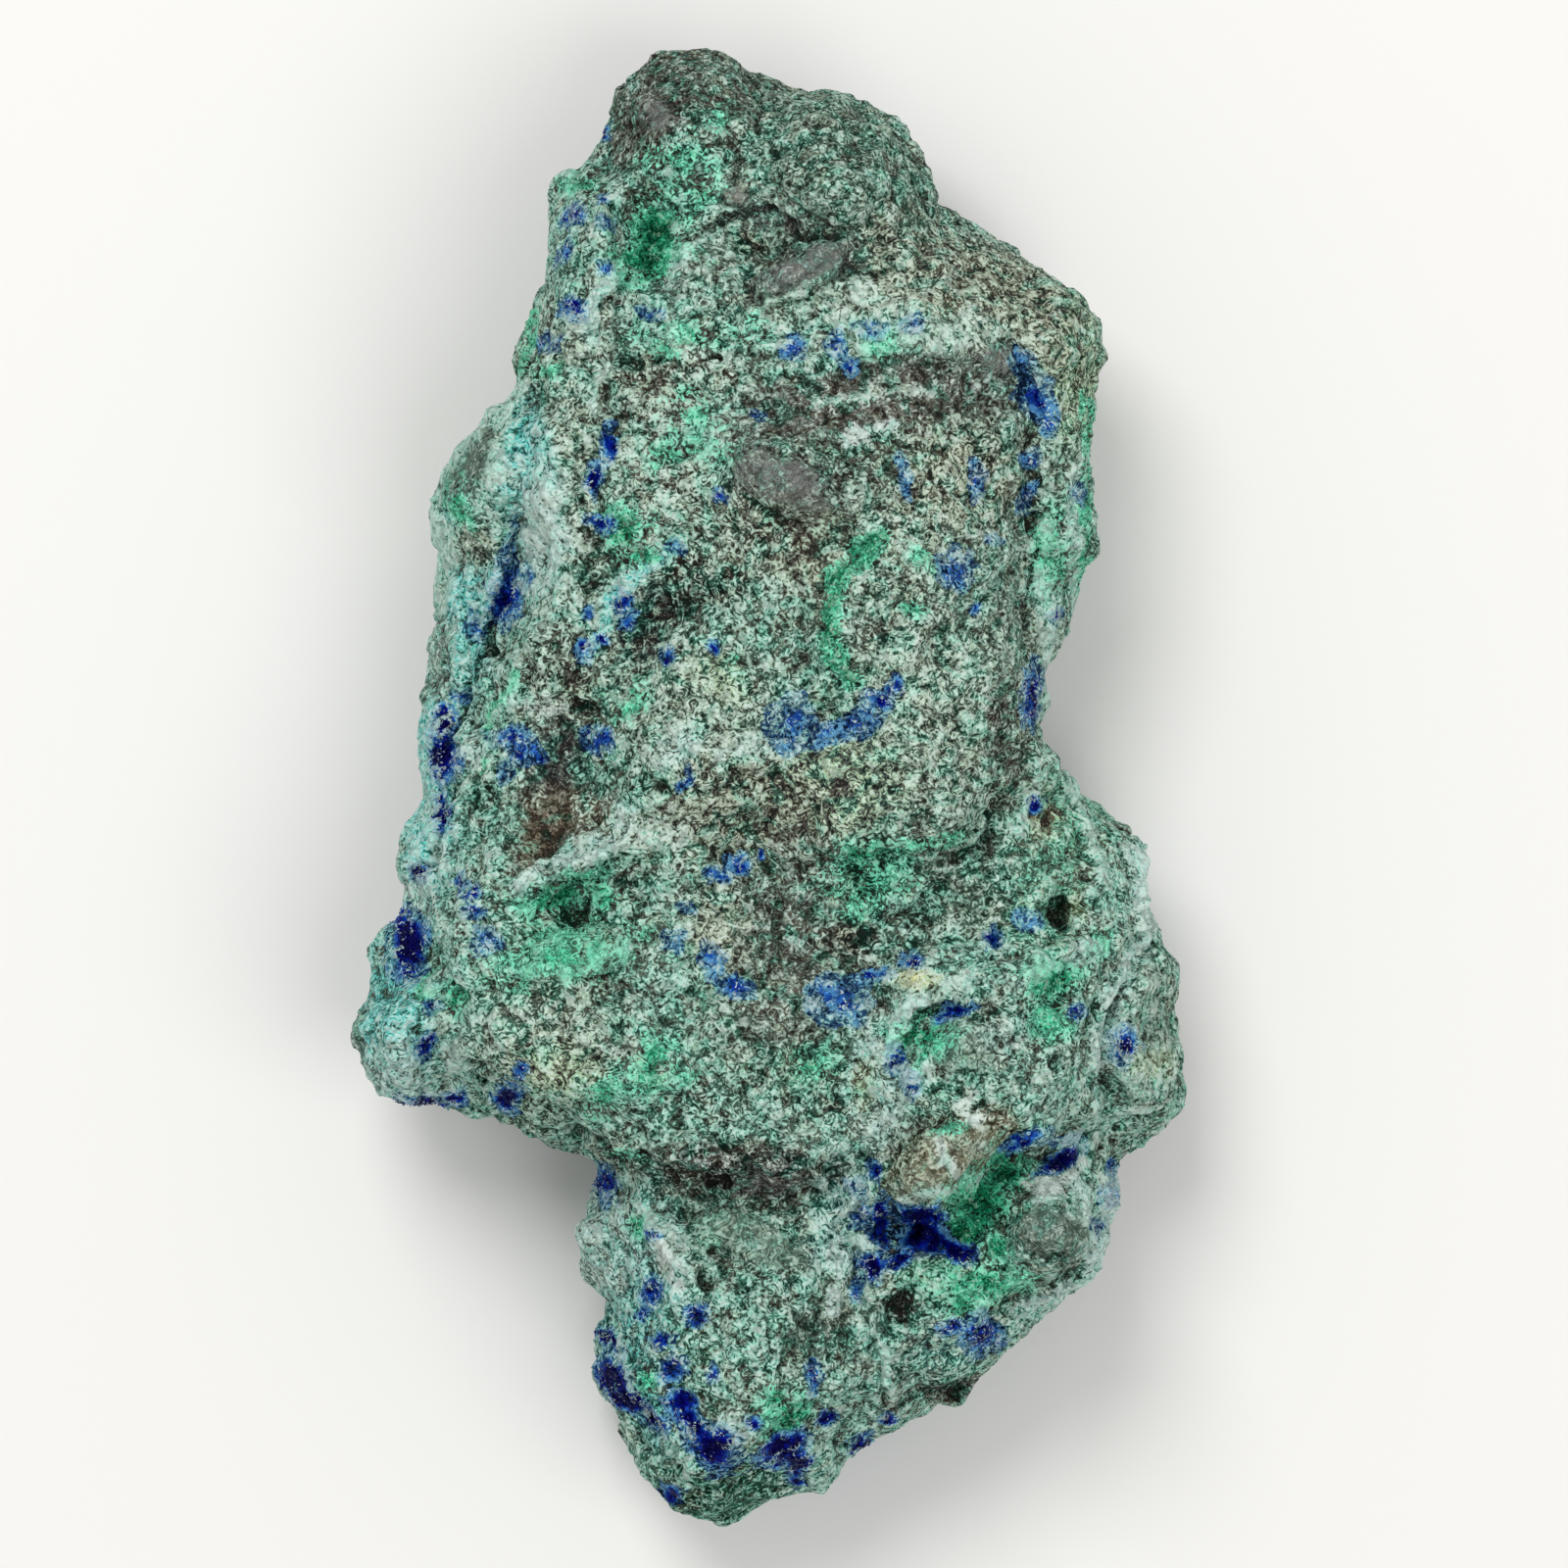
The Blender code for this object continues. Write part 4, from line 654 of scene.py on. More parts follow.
# Each strand: half-width, strength, the crust's colour, and the points that it runs through.
STRANDS = (
    (0.65, 1, "white", ((30.3, -5), (31, -8.5), (31.2, -12), (29.4, -15.2), (27.9, -18.5), (27.3, -22))),
    (0.6, 0.9, "white", ((28.4, -32), (28.6, -35), (27.4, -38.6), (24.4, -41.2), (21, -42.6))),
    (0.7, 1, "mint", ((-19.8, 32.2), (-23.4, 29.2), (-26.6, 24.6), (-27, 21.6), (-25.6, 19.6),
                      (-26.4, 15))),
    (0.55, 0.9, "cyan", ((-26.8, 5.4), (-27.6, 2), (-27.2, -2), (-28.4, -6))),
    (0.4, 0.9, "mint", ((-20.6, 30.6), (-21.4, 26), (-22.4, 22.6), (-21.6, 20.6))),
    (0.45, 0.9, "cyan", ((-6.4, 19.4), (-10.4, 16.8), (-12.2, 15.2), (-12.6, 12.4), (-13.6, 10.2))),
    (0.45, 0.8, "white", ((-12, 41.6), (-13.6, 38.2), (-13.8, 36))),
    (0.4, 0.8, "white", ((-12.8, 35), (-16, 37.4))),
    (0.4, 0.8, "white", ((-7, 45), (-6.6, 42), (-7.6, 40))),
    (0.35, 1, "snow", ((6.4, 27.6), (8, 28.4), (10, 28.7))),
    (0.4, 0.9, "mint", ((-14.6, 33.4), (-13.4, 30), (-12.6, 33.4))),
    (0.5, 0.8, "mint", ((-19.4, 10.4), (-21, 7), (-22.6, 1.6))),
    (0.5, 0.9, "white", ((-19.6, -7.8), (-17.8, -6.4), (-14.4, -5.7), (-12, -4.6), (-10.8, -2))),
    (0.5, 0.9, "white", ((-29.6, -9), (-27.6, -8.2), (-25.6, -5.4))),
    (0.45, 0.8, "mint", ((-26.4, -16), (-25.4, -21), (-24.4, -24))),
    (0.5, 1, "white", ((10.6, -19.4), (10.8, -22.6), (12.8, -23.6), (13.2, -22))),
    (0.5, 0.9, "white", ((21.4, -15.4), (23, -14.4), (25, -14.1), (26.2, -12.8))),
    (0.5, 1, "white", ((10.4, -19.2), (13.4, -17.2), (16.6, -15.4))),
    (0.35, 1, "snow", ((14.1, -29), (14.9, -30.6))), (0.4, 1, "snow", ((16, -25.4), (17.4, -27))),
    (0.35, 0.7, "cream", ((10.6, -28.6), (12.6, -27.4), (16, -28.6), (18.8, -29.6))),
    (0.35, 0.9, "white", ((11.6, -32.9), (13.6, -32.4), (16, -32.2), (18, -31.4))),
    (0.4, 1, "snow", ((20.8, -31.6), (22.4, -32.3), (24.4, -31.9), (26, -30.4))),
    (0.4, 0.8, "white", ((25.6, -31.8), (26.2, -34.8))),
    (0.45, 1, "snow", ((-8.2, -37), (-7.8, -38.2), (-7, -39.8))),
    (0.35, 1, "white", ((5.4, -38.8), (7, -38), (8.2, -36.6))),
    (0.4, 0.8, "white", ((6.2, -39.4), (5.6, -42.4))),
    (0.4, 0.9, "mint", ((-11.8, -43.6), (-11.4, -46), (-9.8, -49.6), (-8, -52.6), (-5.6, -56))),
    (0.4, 0.9, "mint", ((-10.8, -31.6), (-9.6, -34.2), (-6.4, -36.6))),
    (0.45, 0.8, "white", ((-6, -52), (-2.4, -50.8), (-2, -52.8))),
    (0.45, 0.8, "mint", ((8, -31.4), (7.4, -36), (8.2, -42), (9.6, -47), (10.2, -49))),
    (0.5, 0.8, "mint", ((24.6, 0.6), (26.6, -3.4), (27.8, -7.4))),
    (0.45, 0.9, "mint", ((20.2, -3.8), (21.4, -1.4), (22.4, 0.4))),
    (0.5, 0.9, "mint", ((23, 21), (22.8, 16), (23.4, 10), (23, 6))),
    (0.45, 0.8, "mint", ((25.2, 26), (25, 20), (25.4, 14))),
    (0.4, 0.8, "white", ((-3.4, 2), (-1, 3.4), (0.4, 2.6))),
    (0.4, 0.8, "cream", ((13, 31.4), (9, 31.4), (4, 30.6))),
    (0.45, 0.9, "mint", ((24, -28.6), (26.4, -28.6), (28.6, -26.8), (30.4, -26.4))),
)

# %% Mix colours as paint is mixed
def linear(rgb):
    """A colour from 0 to 255 as the linear red, green and blue that shaders take."""
    share = np.array(rgb) / 255.0
    return np.where(share < 0.04045, share / 12.92, ((share + 0.055) / 1.055) ** 2.4)


def chart(name):
    return linear(CHART[name])


def oval_paint(places, *oval, strength):
    """Paint that ends soon after an oval's edge."""
    return strength * np.clip(1.0 - 0.5 * to_oval(places, *oval) ** 2, 0.0, 1.0)


def hazy_paint(places, *oval, strength):
    """Paint that trails off, as malachite does into the crust."""
    return strength * np.exp(-0.7 * to_oval(places, *oval) ** 2)


def line_paint(places, half_width, strength, line):
    return strength * np.clip(1.0 - 0.5 * (to_line(places, line) / half_width) ** 2, 0.0, 1.0)


def soft(places, *oval):
    """1 over most of an oval, and half that on its edge."""
    return np.exp(-(to_oval(places, *oval) ** 4) * 0.7)


# %% [markdown]
# ## Hollows and high spots
#
# Crust grows on what stands proud, and bare rock shows in what doesn't; the hollows are also
# painted darker, as painted shade. Both are measured: each point is compared with where it
# would lie if the skin round it were ironed smooth, over a short reach for the grain of the skin
# and a long one for its hollows.

# %% Compare each point with the smoothed skin
def ironed(points, edges, rounds):
    count = np.bincount(edges.ravel(), minlength=len(points))[:, None]
    for _ in range(rounds):
        total = np.empty_like(points)
        for axis in range(3):
            total[:, axis] = np.bincount(edges[:, 0], points[edges[:, 1], axis], len(points))
            total[:, axis] += np.bincount(edges[:, 1], points[edges[:, 0], axis], len(points))
        points = 0.4 * points + 0.6 * total / np.maximum(count, 1)
    return points


NEAR_ROUNDS, FAR_ROUNDS, NORMAL_ROUNDS = 5, 60, 12  # how many times the skin is ironed
PROUD_GRAIN, DEEP_HOLLOW = 0.12 * MM, 0.9 * MM

points, normals = read(stone), read(stone, "normal")
edges = np.empty(len(stone.data.edges) * 2, dtype=np.int32)
stone.data.edges.foreach_get("vertices", edges)
edges = edges.reshape(-1, 2)
near, far = ironed(points, edges, NEAR_ROUNDS), ironed(points, edges, FAR_ROUNDS)
flat_normals = ironed(normals, edges, NORMAL_ROUNDS)
flat_normals /= np.linalg.norm(flat_normals, axis=1)[:, None]
proud = ((points - near) * flat_normals).sum(axis=1) / PROUD_GRAIN
depth = ((far - points) * flat_normals).sum(axis=1) / DEEP_HOLLOW
hollow = smooth_step(depth, 0.05, 1.3)
print("hollow share:", round(float((hollow > 0.5).mean()), 3))

# %% Paint the front
USUAL_COVER, STRAND_COVER, BACK_COVER = 0.52, 1.04, 0.30  # how much of the rock the crust covers

places = wandered(stone)
facing = smooth_step(flat_normals[:, 2], -0.45, -0.05)
azurite, malachite = np.zeros(len(points)), np.zeros(len(points))
for *oval, strength in AZURITE:
    azurite = np.maximum(azurite, oval_paint(places, *oval, strength=strength))
for *oval, strength in MALACHITE:
    malachite = np.maximum(malachite, hazy_paint(places, *oval, strength=strength))
for half_width, strength, line in MALACHITE_LINES:
    malachite = np.maximum(malachite, line_paint(places, half_width, strength, line))
azurite, malachite = azurite * facing, malachite * facing

crust = np.tile(chart("mint") * 0.5 + chart("sage") * 0.5, (len(points), 1))
ground = np.tile(chart("moss"), (len(points), 1))
flecks = np.full(len(points), USUAL_COVER)
for *oval, strength, rock, skin, cover in ZONES:
    share = strength * soft(places, *oval)
    ground += share[:, None] * (chart(rock) - ground)
    crust += share[:, None] * (chart(skin) - crust)
    flecks += share * (cover - flecks)
for half_width, strength, skin, line in STRANDS:
    share = np.clip(line_paint(places, 1.5 * half_width, 1.3 * strength, line) - 0.3, 0.0, 1.0)
    crust += share[:, None] * (chart(skin) - crust)
    ground += 0.6 * share[:, None] * (chart("fog") - ground)
    flecks += share * (STRAND_COVER - flecks)

# %% [markdown]
# The back is a guess, because a specimen is broken off its bed there: bare brown rock with
# less crust, and small spots of both minerals where veins come through.

# %% Paint the back
BACK_SPOTS = 70
chance = np.random.default_rng(11)
behind = np.flatnonzero((facing < 0.2) & (points[:, 2] > 2 * MM))
for spot in chance.choice(behind, BACK_SPOTS, replace=False):
    size, strength = chance.uniform(1.0, 3.0) * MM, chance.uniform(0.6, 1.0)
    gap = np.linalg.norm(points - points[spot], axis=1) / size
    paint = strength * np.clip(1.0 - 0.5 * gap**2, 0.0, 1.0) * (1.0 - facing)
    if chance.random() < 0.5:
        azurite = np.maximum(azurite, paint)
    else:
        malachite = np.maximum(malachite, paint)
flecks = flecks * facing + BACK_COVER * (1.0 - facing)
ground = ground * facing[:, None] + chart("brown") * (1.0 - facing[:, None])


# %% Store it all on the skin
MASKS = {"azurite": azurite, "malachite": malachite, "crust": crust, "ground": ground, "flecks": flecks,
         "hollow": hollow, "worn": worn_at(places) * facing, "proud": np.clip(proud, -1, 1) * 0.5 + 0.5}

for name, values in MASKS.items():
    store(stone, name, values)
print("painted:", ", ".join(MASKS))

# %% [markdown]
# ## Finishes
#
# All the materials read the same painted masks. What they share is made once as a group: the
# ragged edge, which turns soft paint into a mask with a broken outline.

# %% A group for ragged edges
def group_of(name, inputs, outputs):
    """A shader group with named sockets: (name, kind, default) in, (name, kind) out."""
    tree = bpy.data.node_groups.new(name, "ShaderNodeTree")
    for label, kind, default in inputs:
        tree.interface.new_socket(label, in_out="INPUT", socket_type=kind).default_value = default
    for label, kind in outputs:
        tree.interface.new_socket(label, in_out="OUTPUT", socket_type=kind)
    return tree, tree.nodes.new("NodeGroupInput").outputs, tree.nodes.new("NodeGroupOutput").inputs


def ramp(tree, value, low, high, to_low=0.0, to_high=1.0, smooth=True):
    inputs = {0: value, 1: low, 2: high, 3: to_low, 4: to_high}
    kind = "SMOOTHSTEP" if smooth else "LINEAR"
    return node(tree, "ShaderNodeMapRange", inputs, interpolation_type=kind).outputs[0]


FLOAT, COLOUR, VECTOR = "NodeSocketFloat", "NodeSocketColor", "NodeSocketVector"
ragged, given, gives = group_of(
    "Ragged patch",
    [("Paint", FLOAT, 0.0), ("Wander", FLOAT, 0.0), ("Level", FLOAT, 0.5), ("Raggedness", FLOAT, 0.6)],
    [("Mask", FLOAT)],
)
edge = sum_up(ragged, "MULTIPLY_ADD", given["Wander"], given["Raggedness"], given["Paint"])
over = sum_up(ragged, "SUBTRACT", edge, given["Level"])
ragged.links.new(ramp(ragged, over, -0.03, 0.03), gives["Mask"])


# %% Helpers for materials
def begin(name):
    made = bpy.data.materials.new(name)
    made.use_nodes = True
    return made, made.node_tree, made.node_tree.nodes["Principled BSDF"]


def painted(tree, name, colour=False):
    read_it = node(tree, "ShaderNodeAttribute", attribute_name=name, attribute_type="GEOMETRY")
    return read_it.outputs["Color" if colour else "Fac"]


def mix(tree, share, first, second, blend="MIX"):
    made = node(tree, "ShaderNodeMix", {0: share, 6: first, 7: second}, data_type="RGBA", blend_type=blend)
    return made.outputs[2]


def shade(tree, colour, value):
    """Makes a colour lighter or darker by a value."""
    grey = node(tree, "ShaderNodeCombineColor", {0: value, 1: value, 2: value}).outputs[0]
    return mix(tree, 1.0, colour, grey, "MULTIPLY")


def steps(tree, value, stops):
    """A colour ramp: stops are (place, red, green, blue) from 0 to 255."""
    made = node(tree, "ShaderNodeValToRGB", {0: value})
    while len(made.color_ramp.elements) < len(stops):
        made.color_ramp.elements.new(0.5)
    for element, (place, *rgb) in zip(made.color_ramp.elements, stops):
        element.position = place
        element.color = (*linear(rgb), 1.0)
    return made.outputs[0]


def patch(tree, paint, wander, level, raggedness):
    made = node(tree, "ShaderNodeGroup", node_tree=ragged)
    for name, value in (("Paint", paint), ("Wander", wander), ("Level", level), ("Raggedness", raggedness)):
        if isinstance(value, bpy.types.NodeSocket):
            tree.links.new(value, made.inputs[name])
        else:
            made.inputs[name].default_value = value
    return made.outputs["Mask"]


# Each step: how strong the paint is, and the red, green and blue there.
AZURITE_STEPS = (
    (0.38, 100, 160, 198), (0.58, 36, 96, 174), (0.74, 4, 40, 146), (0.86, 0, 6, 112), (1.0, 0, 0, 66),
)
MALACHITE_STEPS = ((0.38, 108, 198, 166), (0.60, 66, 184, 142), (0.82, 12, 146, 102), (1.0, 0, 98, 62))

# %% [markdown]
# ## The stone's own finish
#
# From the bottom up: bare rock that varies from grain to grain, a curly net of pale flecks,
# green malachite and blue azurite with broken edges, and near-black holes between the grains,
# darkened as painted shade.
# It is all one group, because the grains of crust that stand on the skin must carry on its
# pattern.
#
# One number, the level, says how thick the crust is at each point. Noises of several sizes and
# the painted masks each lift or lower it, and the tones change where it passes set heights, so
# the flecks get crisp edges at every size.

# %% Begin the group for the colours of the ore
INK_INPUTS = (
    ("Vector", VECTOR, (0, 0, 0)), ("Crust", COLOUR, (0.3, 0.5, 0.4, 1)),
    ("Rock", COLOUR, (0.1, 0.1, 0.1, 1)), ("Cover", FLOAT, 0.5), ("Proud", FLOAT, 0.5),
    ("Hollow", FLOAT, 0.0), ("Drift", VECTOR, (0.5, 0.5, 0.5)), ("Cloud", VECTOR, (0.5, 0.5, 0.5)),
    ("Azurite", FLOAT, 0.0), ("Malachite", FLOAT, 0.0), ("Worn", FLOAT, 0.0),
)
INK_OUTPUTS = (("Colour", COLOUR), ("Azurite mask", FLOAT), ("Height", FLOAT))
inked, given, gives = group_of("Colours of the ore", INK_INPUTS, INK_OUTPUTS)


def times(first, second):
    return sum_up(inked, "MULTIPLY", first, second)


def about(value, middle=0.5):
    return sum_up(inked, "SUBTRACT", value, middle)


def toward(name, share, colour):
    """Mixes a share of a colour of the chart into another colour."""
    return mix(inked, share, colour, (*chart(name), 1.0))


# %% The noises in it
NET = (0.64, 1.3, 0.5, 2.1)  # each noise: size in mm, detail, roughness and distortion
COARSE = (2.1, 2.0, 0.5, 1.2)
SPECK = (0.24, 1.0, 0.6, 0.0)
TINT = (1.7, 1.5, 0.5, 0.9)
CELL_SIZE, CELL_DRIFT = 0.62, 0.9  # the grains, and how far their edges drift, mm

net, coarse, speck, tint = [noise(inked, *kind, given["Vector"]) for kind in (NET, COARSE, SPECK, TINT)]
bent = shift_by(inked, given["Vector"], given["Drift"], CELL_DRIFT)
cells = node(inked, "ShaderNodeTexVoronoi", {"Vector": bent, "Scale": 1.0 / (CELL_SIZE * MM)})
cell = node(inked, "ShaderNodeSeparateXYZ", {0: cells.outputs["Color"]}).outputs[0]
rim = ramp(inked, cells.outputs["Distance"], 0.45, 0.75)
cloud = node(inked, "ShaderNodeSeparateXYZ", {0: given["Cloud"]}).outputs

# %% The level of the crust
# Each thing that lifts the level: its value, its middle, and how much it counts.
LIFTS = ((net, 0.5, 1.25), (cell, 0.5, 0.16), (coarse, 0.5, 0.17), (speck, 0.5, 0.22),
         (given["Cover"], 0.5, 0.42), (given["Proud"], 0.5, 0.20), (cloud[0], 0.5, 0.14),
         (given["Hollow"], 0.0, -0.11))

level = 0.5
for value, middle, weight in LIFTS:
    level = sum_up(inked, "MULTIPLY_ADD", about(value, middle), weight, level)
wander = sum_up(inked, "MULTIPLY_ADD", about(net), 0.9, about(cloud[0]))

# %% The crust and the rock drift between neighbouring tints
crust_here = toward("cream", ramp(inked, cloud[1], 0.50, 0.72, 0.0, 0.45), given["Crust"])
crust_here = toward("grass", ramp(inked, cloud[1], 0.50, 0.30, 0.0, 0.45), crust_here)
crust_here = toward("aqua", ramp(inked, tint, 0.52, 0.64, 0.0, 0.40), crust_here)
crust_here = toward("sand", ramp(inked, tint, 0.48, 0.36, 0.0, 0.40), crust_here)
rock_here = toward("brown", ramp(inked, cloud[2], 0.52, 0.72, 0.0, 0.6), given["Rock"])
rock_here = toward("moss", ramp(inked, cloud[2], 0.48, 0.30, 0.0, 0.5), rock_here)
stained = ramp(inked, given["Worn"], 0.1, 0.8, 1.0, 0.0)
rock_here = toward("fern", times(stained, ramp(inked, tint, 0.51, 0.62, 0.0, 0.55)), rock_here)
rock_here = toward("clay", times(stained, ramp(inked, tint, 0.49, 0.38, 0.0, 0.45)), rock_here)

# %% Green and blue tint both the crust and the rock under it
FAINTEST = (0.02, 0.2)  # paint weaker than this never shows

green_mask = patch(inked, given["Malachite"], wander, 0.38, 2.9)
green_mask = times(green_mask, ramp(inked, given["Malachite"], *FAINTEST))
green = sum_up(inked, "MULTIPLY_ADD", about(cell), 0.35, given["Malachite"])
green = steps(inked, green, MALACHITE_STEPS)
halo = patch(inked, given["Azurite"], about(cloud[0]), 0.16, 0.6)
crust_here = mix(inked, times(green_mask, 0.85), crust_here, shade(inked, green, 1.28))
crust_here = toward("sky", times(halo, 0.5), crust_here)
rock_here = mix(inked, green_mask, rock_here, shade(inked, green, 0.70))
rock_here = toward("dusk", halo, rock_here)

# %% Five tones, from the painted shade of the pinholes to the brightest flecks
DIM, FAIR, PINHOLE_SHADE = 0.26, 0.62, 0.22  # shares of crust in the middle tones, and how dark a pinhole is
# Each tone, and between which levels it takes over from the one before.
TONES = (
    (rock_here, 0.29, 0.345), (mix(inked, DIM, rock_here, crust_here), 0.395, 0.41),
    (mix(inked, FAIR, rock_here, crust_here), 0.478, 0.492), (crust_here, 0.552, 0.566),
)

# The darkest tone is painted shade: the rock darkened to about a fifth in the pinholes, where the crust is
# thinnest.
colour = shade(inked, rock_here, PINHOLE_SHADE)
for tone, low, high in TONES:
    colour = mix(inked, ramp(inked, level, low, high), colour, tone)
snow = times(ramp(inked, level, 0.66, 0.675, 0.0, 0.6), ramp(inked, green_mask, 0.0, 1.0, 1.0, 0.6))
colour = toward("snow", snow, colour)

# %% Bright rims on the flecks, plainer colour on the smooth stones, and specks over all
RIM_LEVEL, RIM_WIDTH = 0.525, (0.030, 0.010)

shine = sum_up(inked, "ABSOLUTE", about(level, RIM_LEVEL), 0.0)
shine = ramp(inked, shine, *RIM_WIDTH, 0.0, 0.5)
colour = mix(inked, shine, colour, shade(inked, crust_here, 1.14))
smooth_here = patch(inked, given["Worn"], wander, 0.62, 1.4)
plain = mix(inked, times(level, 0.8), rock_here, crust_here)
colour = mix(inked, times(smooth_here, 0.42), colour, plain)
colour = shade(inked, colour, ramp(inked, speck, 0.28, 0.58, 0.80, 1.06, smooth=False))

# %% Azurite hides what it covers
blue_mask = patch(inked, given["Azurite"], wander, 0.43, 2.6)
blue_mask = times(blue_mask, ramp(inked, given["Azurite"], *FAINTEST))
deep = sum_up(inked, "MULTIPLY_ADD", given["Azurite"], 1.4, -0.21)
deep = sum_up(inked, "MULTIPLY_ADD", about(cell), 0.46, deep)
blue = shade(inked, steps(inked, deep, AZURITE_STEPS), sum_up(inked, "MULTIPLY_ADD", speck, 1.2, 0.4))
kept = sum_up(inked, "MULTIPLY_ADD", given["Azurite"], -0.32, level)
kept = ramp(inked, kept, 0.46, 0.48, 1.0, 0.15)
colour = mix(inked, times(blue_mask, kept), colour, blue)

# %% Outlines of the flecks, rims of the grains, and painted shade in the hollows
OUTLINE_LEVEL, OUTLINE_WIDTH = 0.456, (0.034, 0.012)

outline = sum_up(inked, "ABSOLUTE", about(level, OUTLINE_LEVEL), 0.0)
outline = times(ramp(inked, outline, *OUTLINE_WIDTH), ramp(inked, blue_mask, 0.5, 0.0))
outline = times(outline, ramp(inked, smooth_here, 0.0, 1.0, 0.84, 0.45))
# Painted shade: the colour is darkened by up to a fifth where the skin lies in a hollow.
dark = sum_up(inked, "MAXIMUM", times(rim, 0.35), times(given["Hollow"], 0.22))
dark = sum_up(inked, "MAXIMUM", dark, outline)
colour = shade(inked, colour, sum_up(inked, "SUBTRACT", 1.0, dark))
inked.links.new(colour, gives["Colour"])
inked.links.new(blue_mask, gives["Azurite mask"])

# %% How high each tone stands, for the bump
raised = ramp(inked, level, 0.43, 0.49, 0.0, 0.7)
raised = sum_up(inked, "ADD", raised, ramp(inked, level, 0.54, 0.58, 0.0, 0.4))
raised = sum_up(inked, "ADD", raised, times(speck, 0.6))
inked.links.new(sum_up(inked, "MULTIPLY_ADD", rim, -0.3, raised), gives["Height"])
print("colours of the ore:", len(inked.nodes), "nodes")


# %% Feed the group in a material
FED = {"Crust": "crust", "Rock": "ground", "Cover": "flecks", "Proud": "proud", "Hollow": "hollow",
       "Drift": "drift", "Cloud": "cloud", "Azurite": "azurite", "Malachite": "malachite", "Worn": "worn"}


def ink(tree):
    """The group above in a material, fed by the painted masks."""
    made = node(tree, "ShaderNodeGroup", node_tree=inked)
    tree.links.new(tree.nodes.new("ShaderNodeTexCoord").outputs["Object"], made.inputs["Vector"])
    for socket, name in FED.items():
        colour = made.inputs[socket].type != "VALUE"
        tree.links.new(painted(tree, name, colour), made.inputs[socket])
    return made


# %% Build the stone's material
RELIEF = 0.10 * MM  # how high the bump stands

ore, tree, shader = begin("ore_skin")
inks = ink(tree)
tree.links.new(inks.outputs["Colour"], shader.inputs["Base Color"])
rough = ramp(tree, inks.outputs["Azurite mask"], 0.0, 1.0, 0.82, 0.5)
tree.links.new(rough, shader.inputs["Roughness"])
relief = {"Strength": 1.0, "Distance": RELIEF, "Height": inks.outputs["Height"]}
bump = node(tree, "ShaderNodeBump", relief)
tree.links.new(bump.outputs["Normal"], shader.inputs["Normal"])
shader.inputs["Specular IOR Level"].default_value = 0.05
stone.data.materials.clear()
stone.data.materials.append(ore)

# %% [markdown]
# ## Crystals
#
# Paint alone leaves the skin too smooth close to: the crust and the azurite are made of grains
# that stand up and catch the light. Two small crystals are modelled, a blunt grain and a
# sharper blade, and geometry nodes set thousands of copies on the skin, thickest where the paint
# is. The copies inherit the painted masks, so their material can use the same colours.

# %% Model one crystal
def crystal(name, sides, sharpness, root):
    """A pointed crystal 1 mm across, with its root under the skin."""
    bpy.ops.object.select_all(action="DESELECT")
    bpy.ops.mesh.primitive_cone_add(vertices=sides, radius1=0.5 * MM, radius2=0.0, depth=sharpness * MM,
                                    location=(0, 0, 0.5 * sharpness * MM))
    made = bpy.context.active_object
    made.name = name
    bpy.ops.object.mode_set(mode="EDIT")
    bpy.ops.mesh.select_mode(type="FACE")
    bpy.ops.mesh.select_all(action="DESELECT")
    bpy.ops.object.mode_set(mode="OBJECT")
    for face in made.data.polygons:
        face.select = face.normal.z < -0.9
    bpy.ops.object.mode_set(mode="EDIT")
    bpy.ops.mesh.poke(offset=root * MM)
    bpy.ops.object.mode_set(mode="OBJECT")
    bpy.ops.object.transform_apply(location=True, rotation=True, scale=True)
    return made


def scatter(name, one, mask, per_mm2, sizes, squash, tilt, sink, seed):
    """Sets copies of one crystal on the stone, as thickly as the mask says, and joins them."""
    piece = bpy.data.objects.new(name, stone.data.copy())
    bpy.context.scene.collection.objects.link(piece)
    tree, geometry, out = geometry_tree(name)
    density = sum_up(tree, "MULTIPLY", kept_value(tree, mask), per_mm2 / MM**2)
    points = node(tree, "GeometryNodeDistributePointsOnFaces",
                  {"Mesh": geometry, "Density": density, "Seed": seed}, distribute_method="RANDOM")
    least, most = Vector((sizes[0],) * 3) * 0.7, Vector((sizes[1],) * 3)
    size = node(tree, "FunctionNodeRandomValue", {0: least, 1: most, "Seed": seed + 1},
                data_type="FLOAT_VECTOR").outputs[0]
    size = vectors(tree, "MULTIPLY", size, (1.0, 1.0, squash))
    lean = Vector((math.radians(tilt), math.radians(tilt), math.pi))
    turn = node(tree, "FunctionNodeRandomValue", {0: -lean, 1: lean, "Seed": seed + 2},
                data_type="FLOAT_VECTOR").outputs[0]
    turned = node(tree, "FunctionNodeRotateRotation", {0: points.outputs["Rotation"], 1: turn},
                  rotation_space="LOCAL").outputs[0]
    tone = node(tree, "FunctionNodeRandomValue", {2: 0.0, 3: 1.0, "Seed": seed + 3},
                data_type="FLOAT").outputs[1]
    shape = node(tree, "GeometryNodeObjectInfo", {"Object": one}, transform_space="ORIGINAL")
    placed = node(tree, "GeometryNodeInstanceOnPoints", {
        "Points": points.outputs["Points"], "Instance": shape.outputs["Geometry"],
        "Rotation": turned, "Scale": size}).outputs[0]
    sunk = node(tree, "GeometryNodeTranslateInstances",
                {"Instances": placed, "Translation": (0, 0, -sink * MM)}).outputs[0]
    toned = stored(tree, sunk, "tone", tone, "FLOAT", "INSTANCE")
    tree.links.new(node(tree, "GeometryNodeRealizeInstances", {0: toned}).outputs[0], out)
    use(piece, "NODES", node_group=tree)
    bpy.data.node_groups.remove(tree)
    piece.data.materials.clear()
    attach(piece, "root")
    print(name + ":", triangles(piece), "triangles")
    return piece


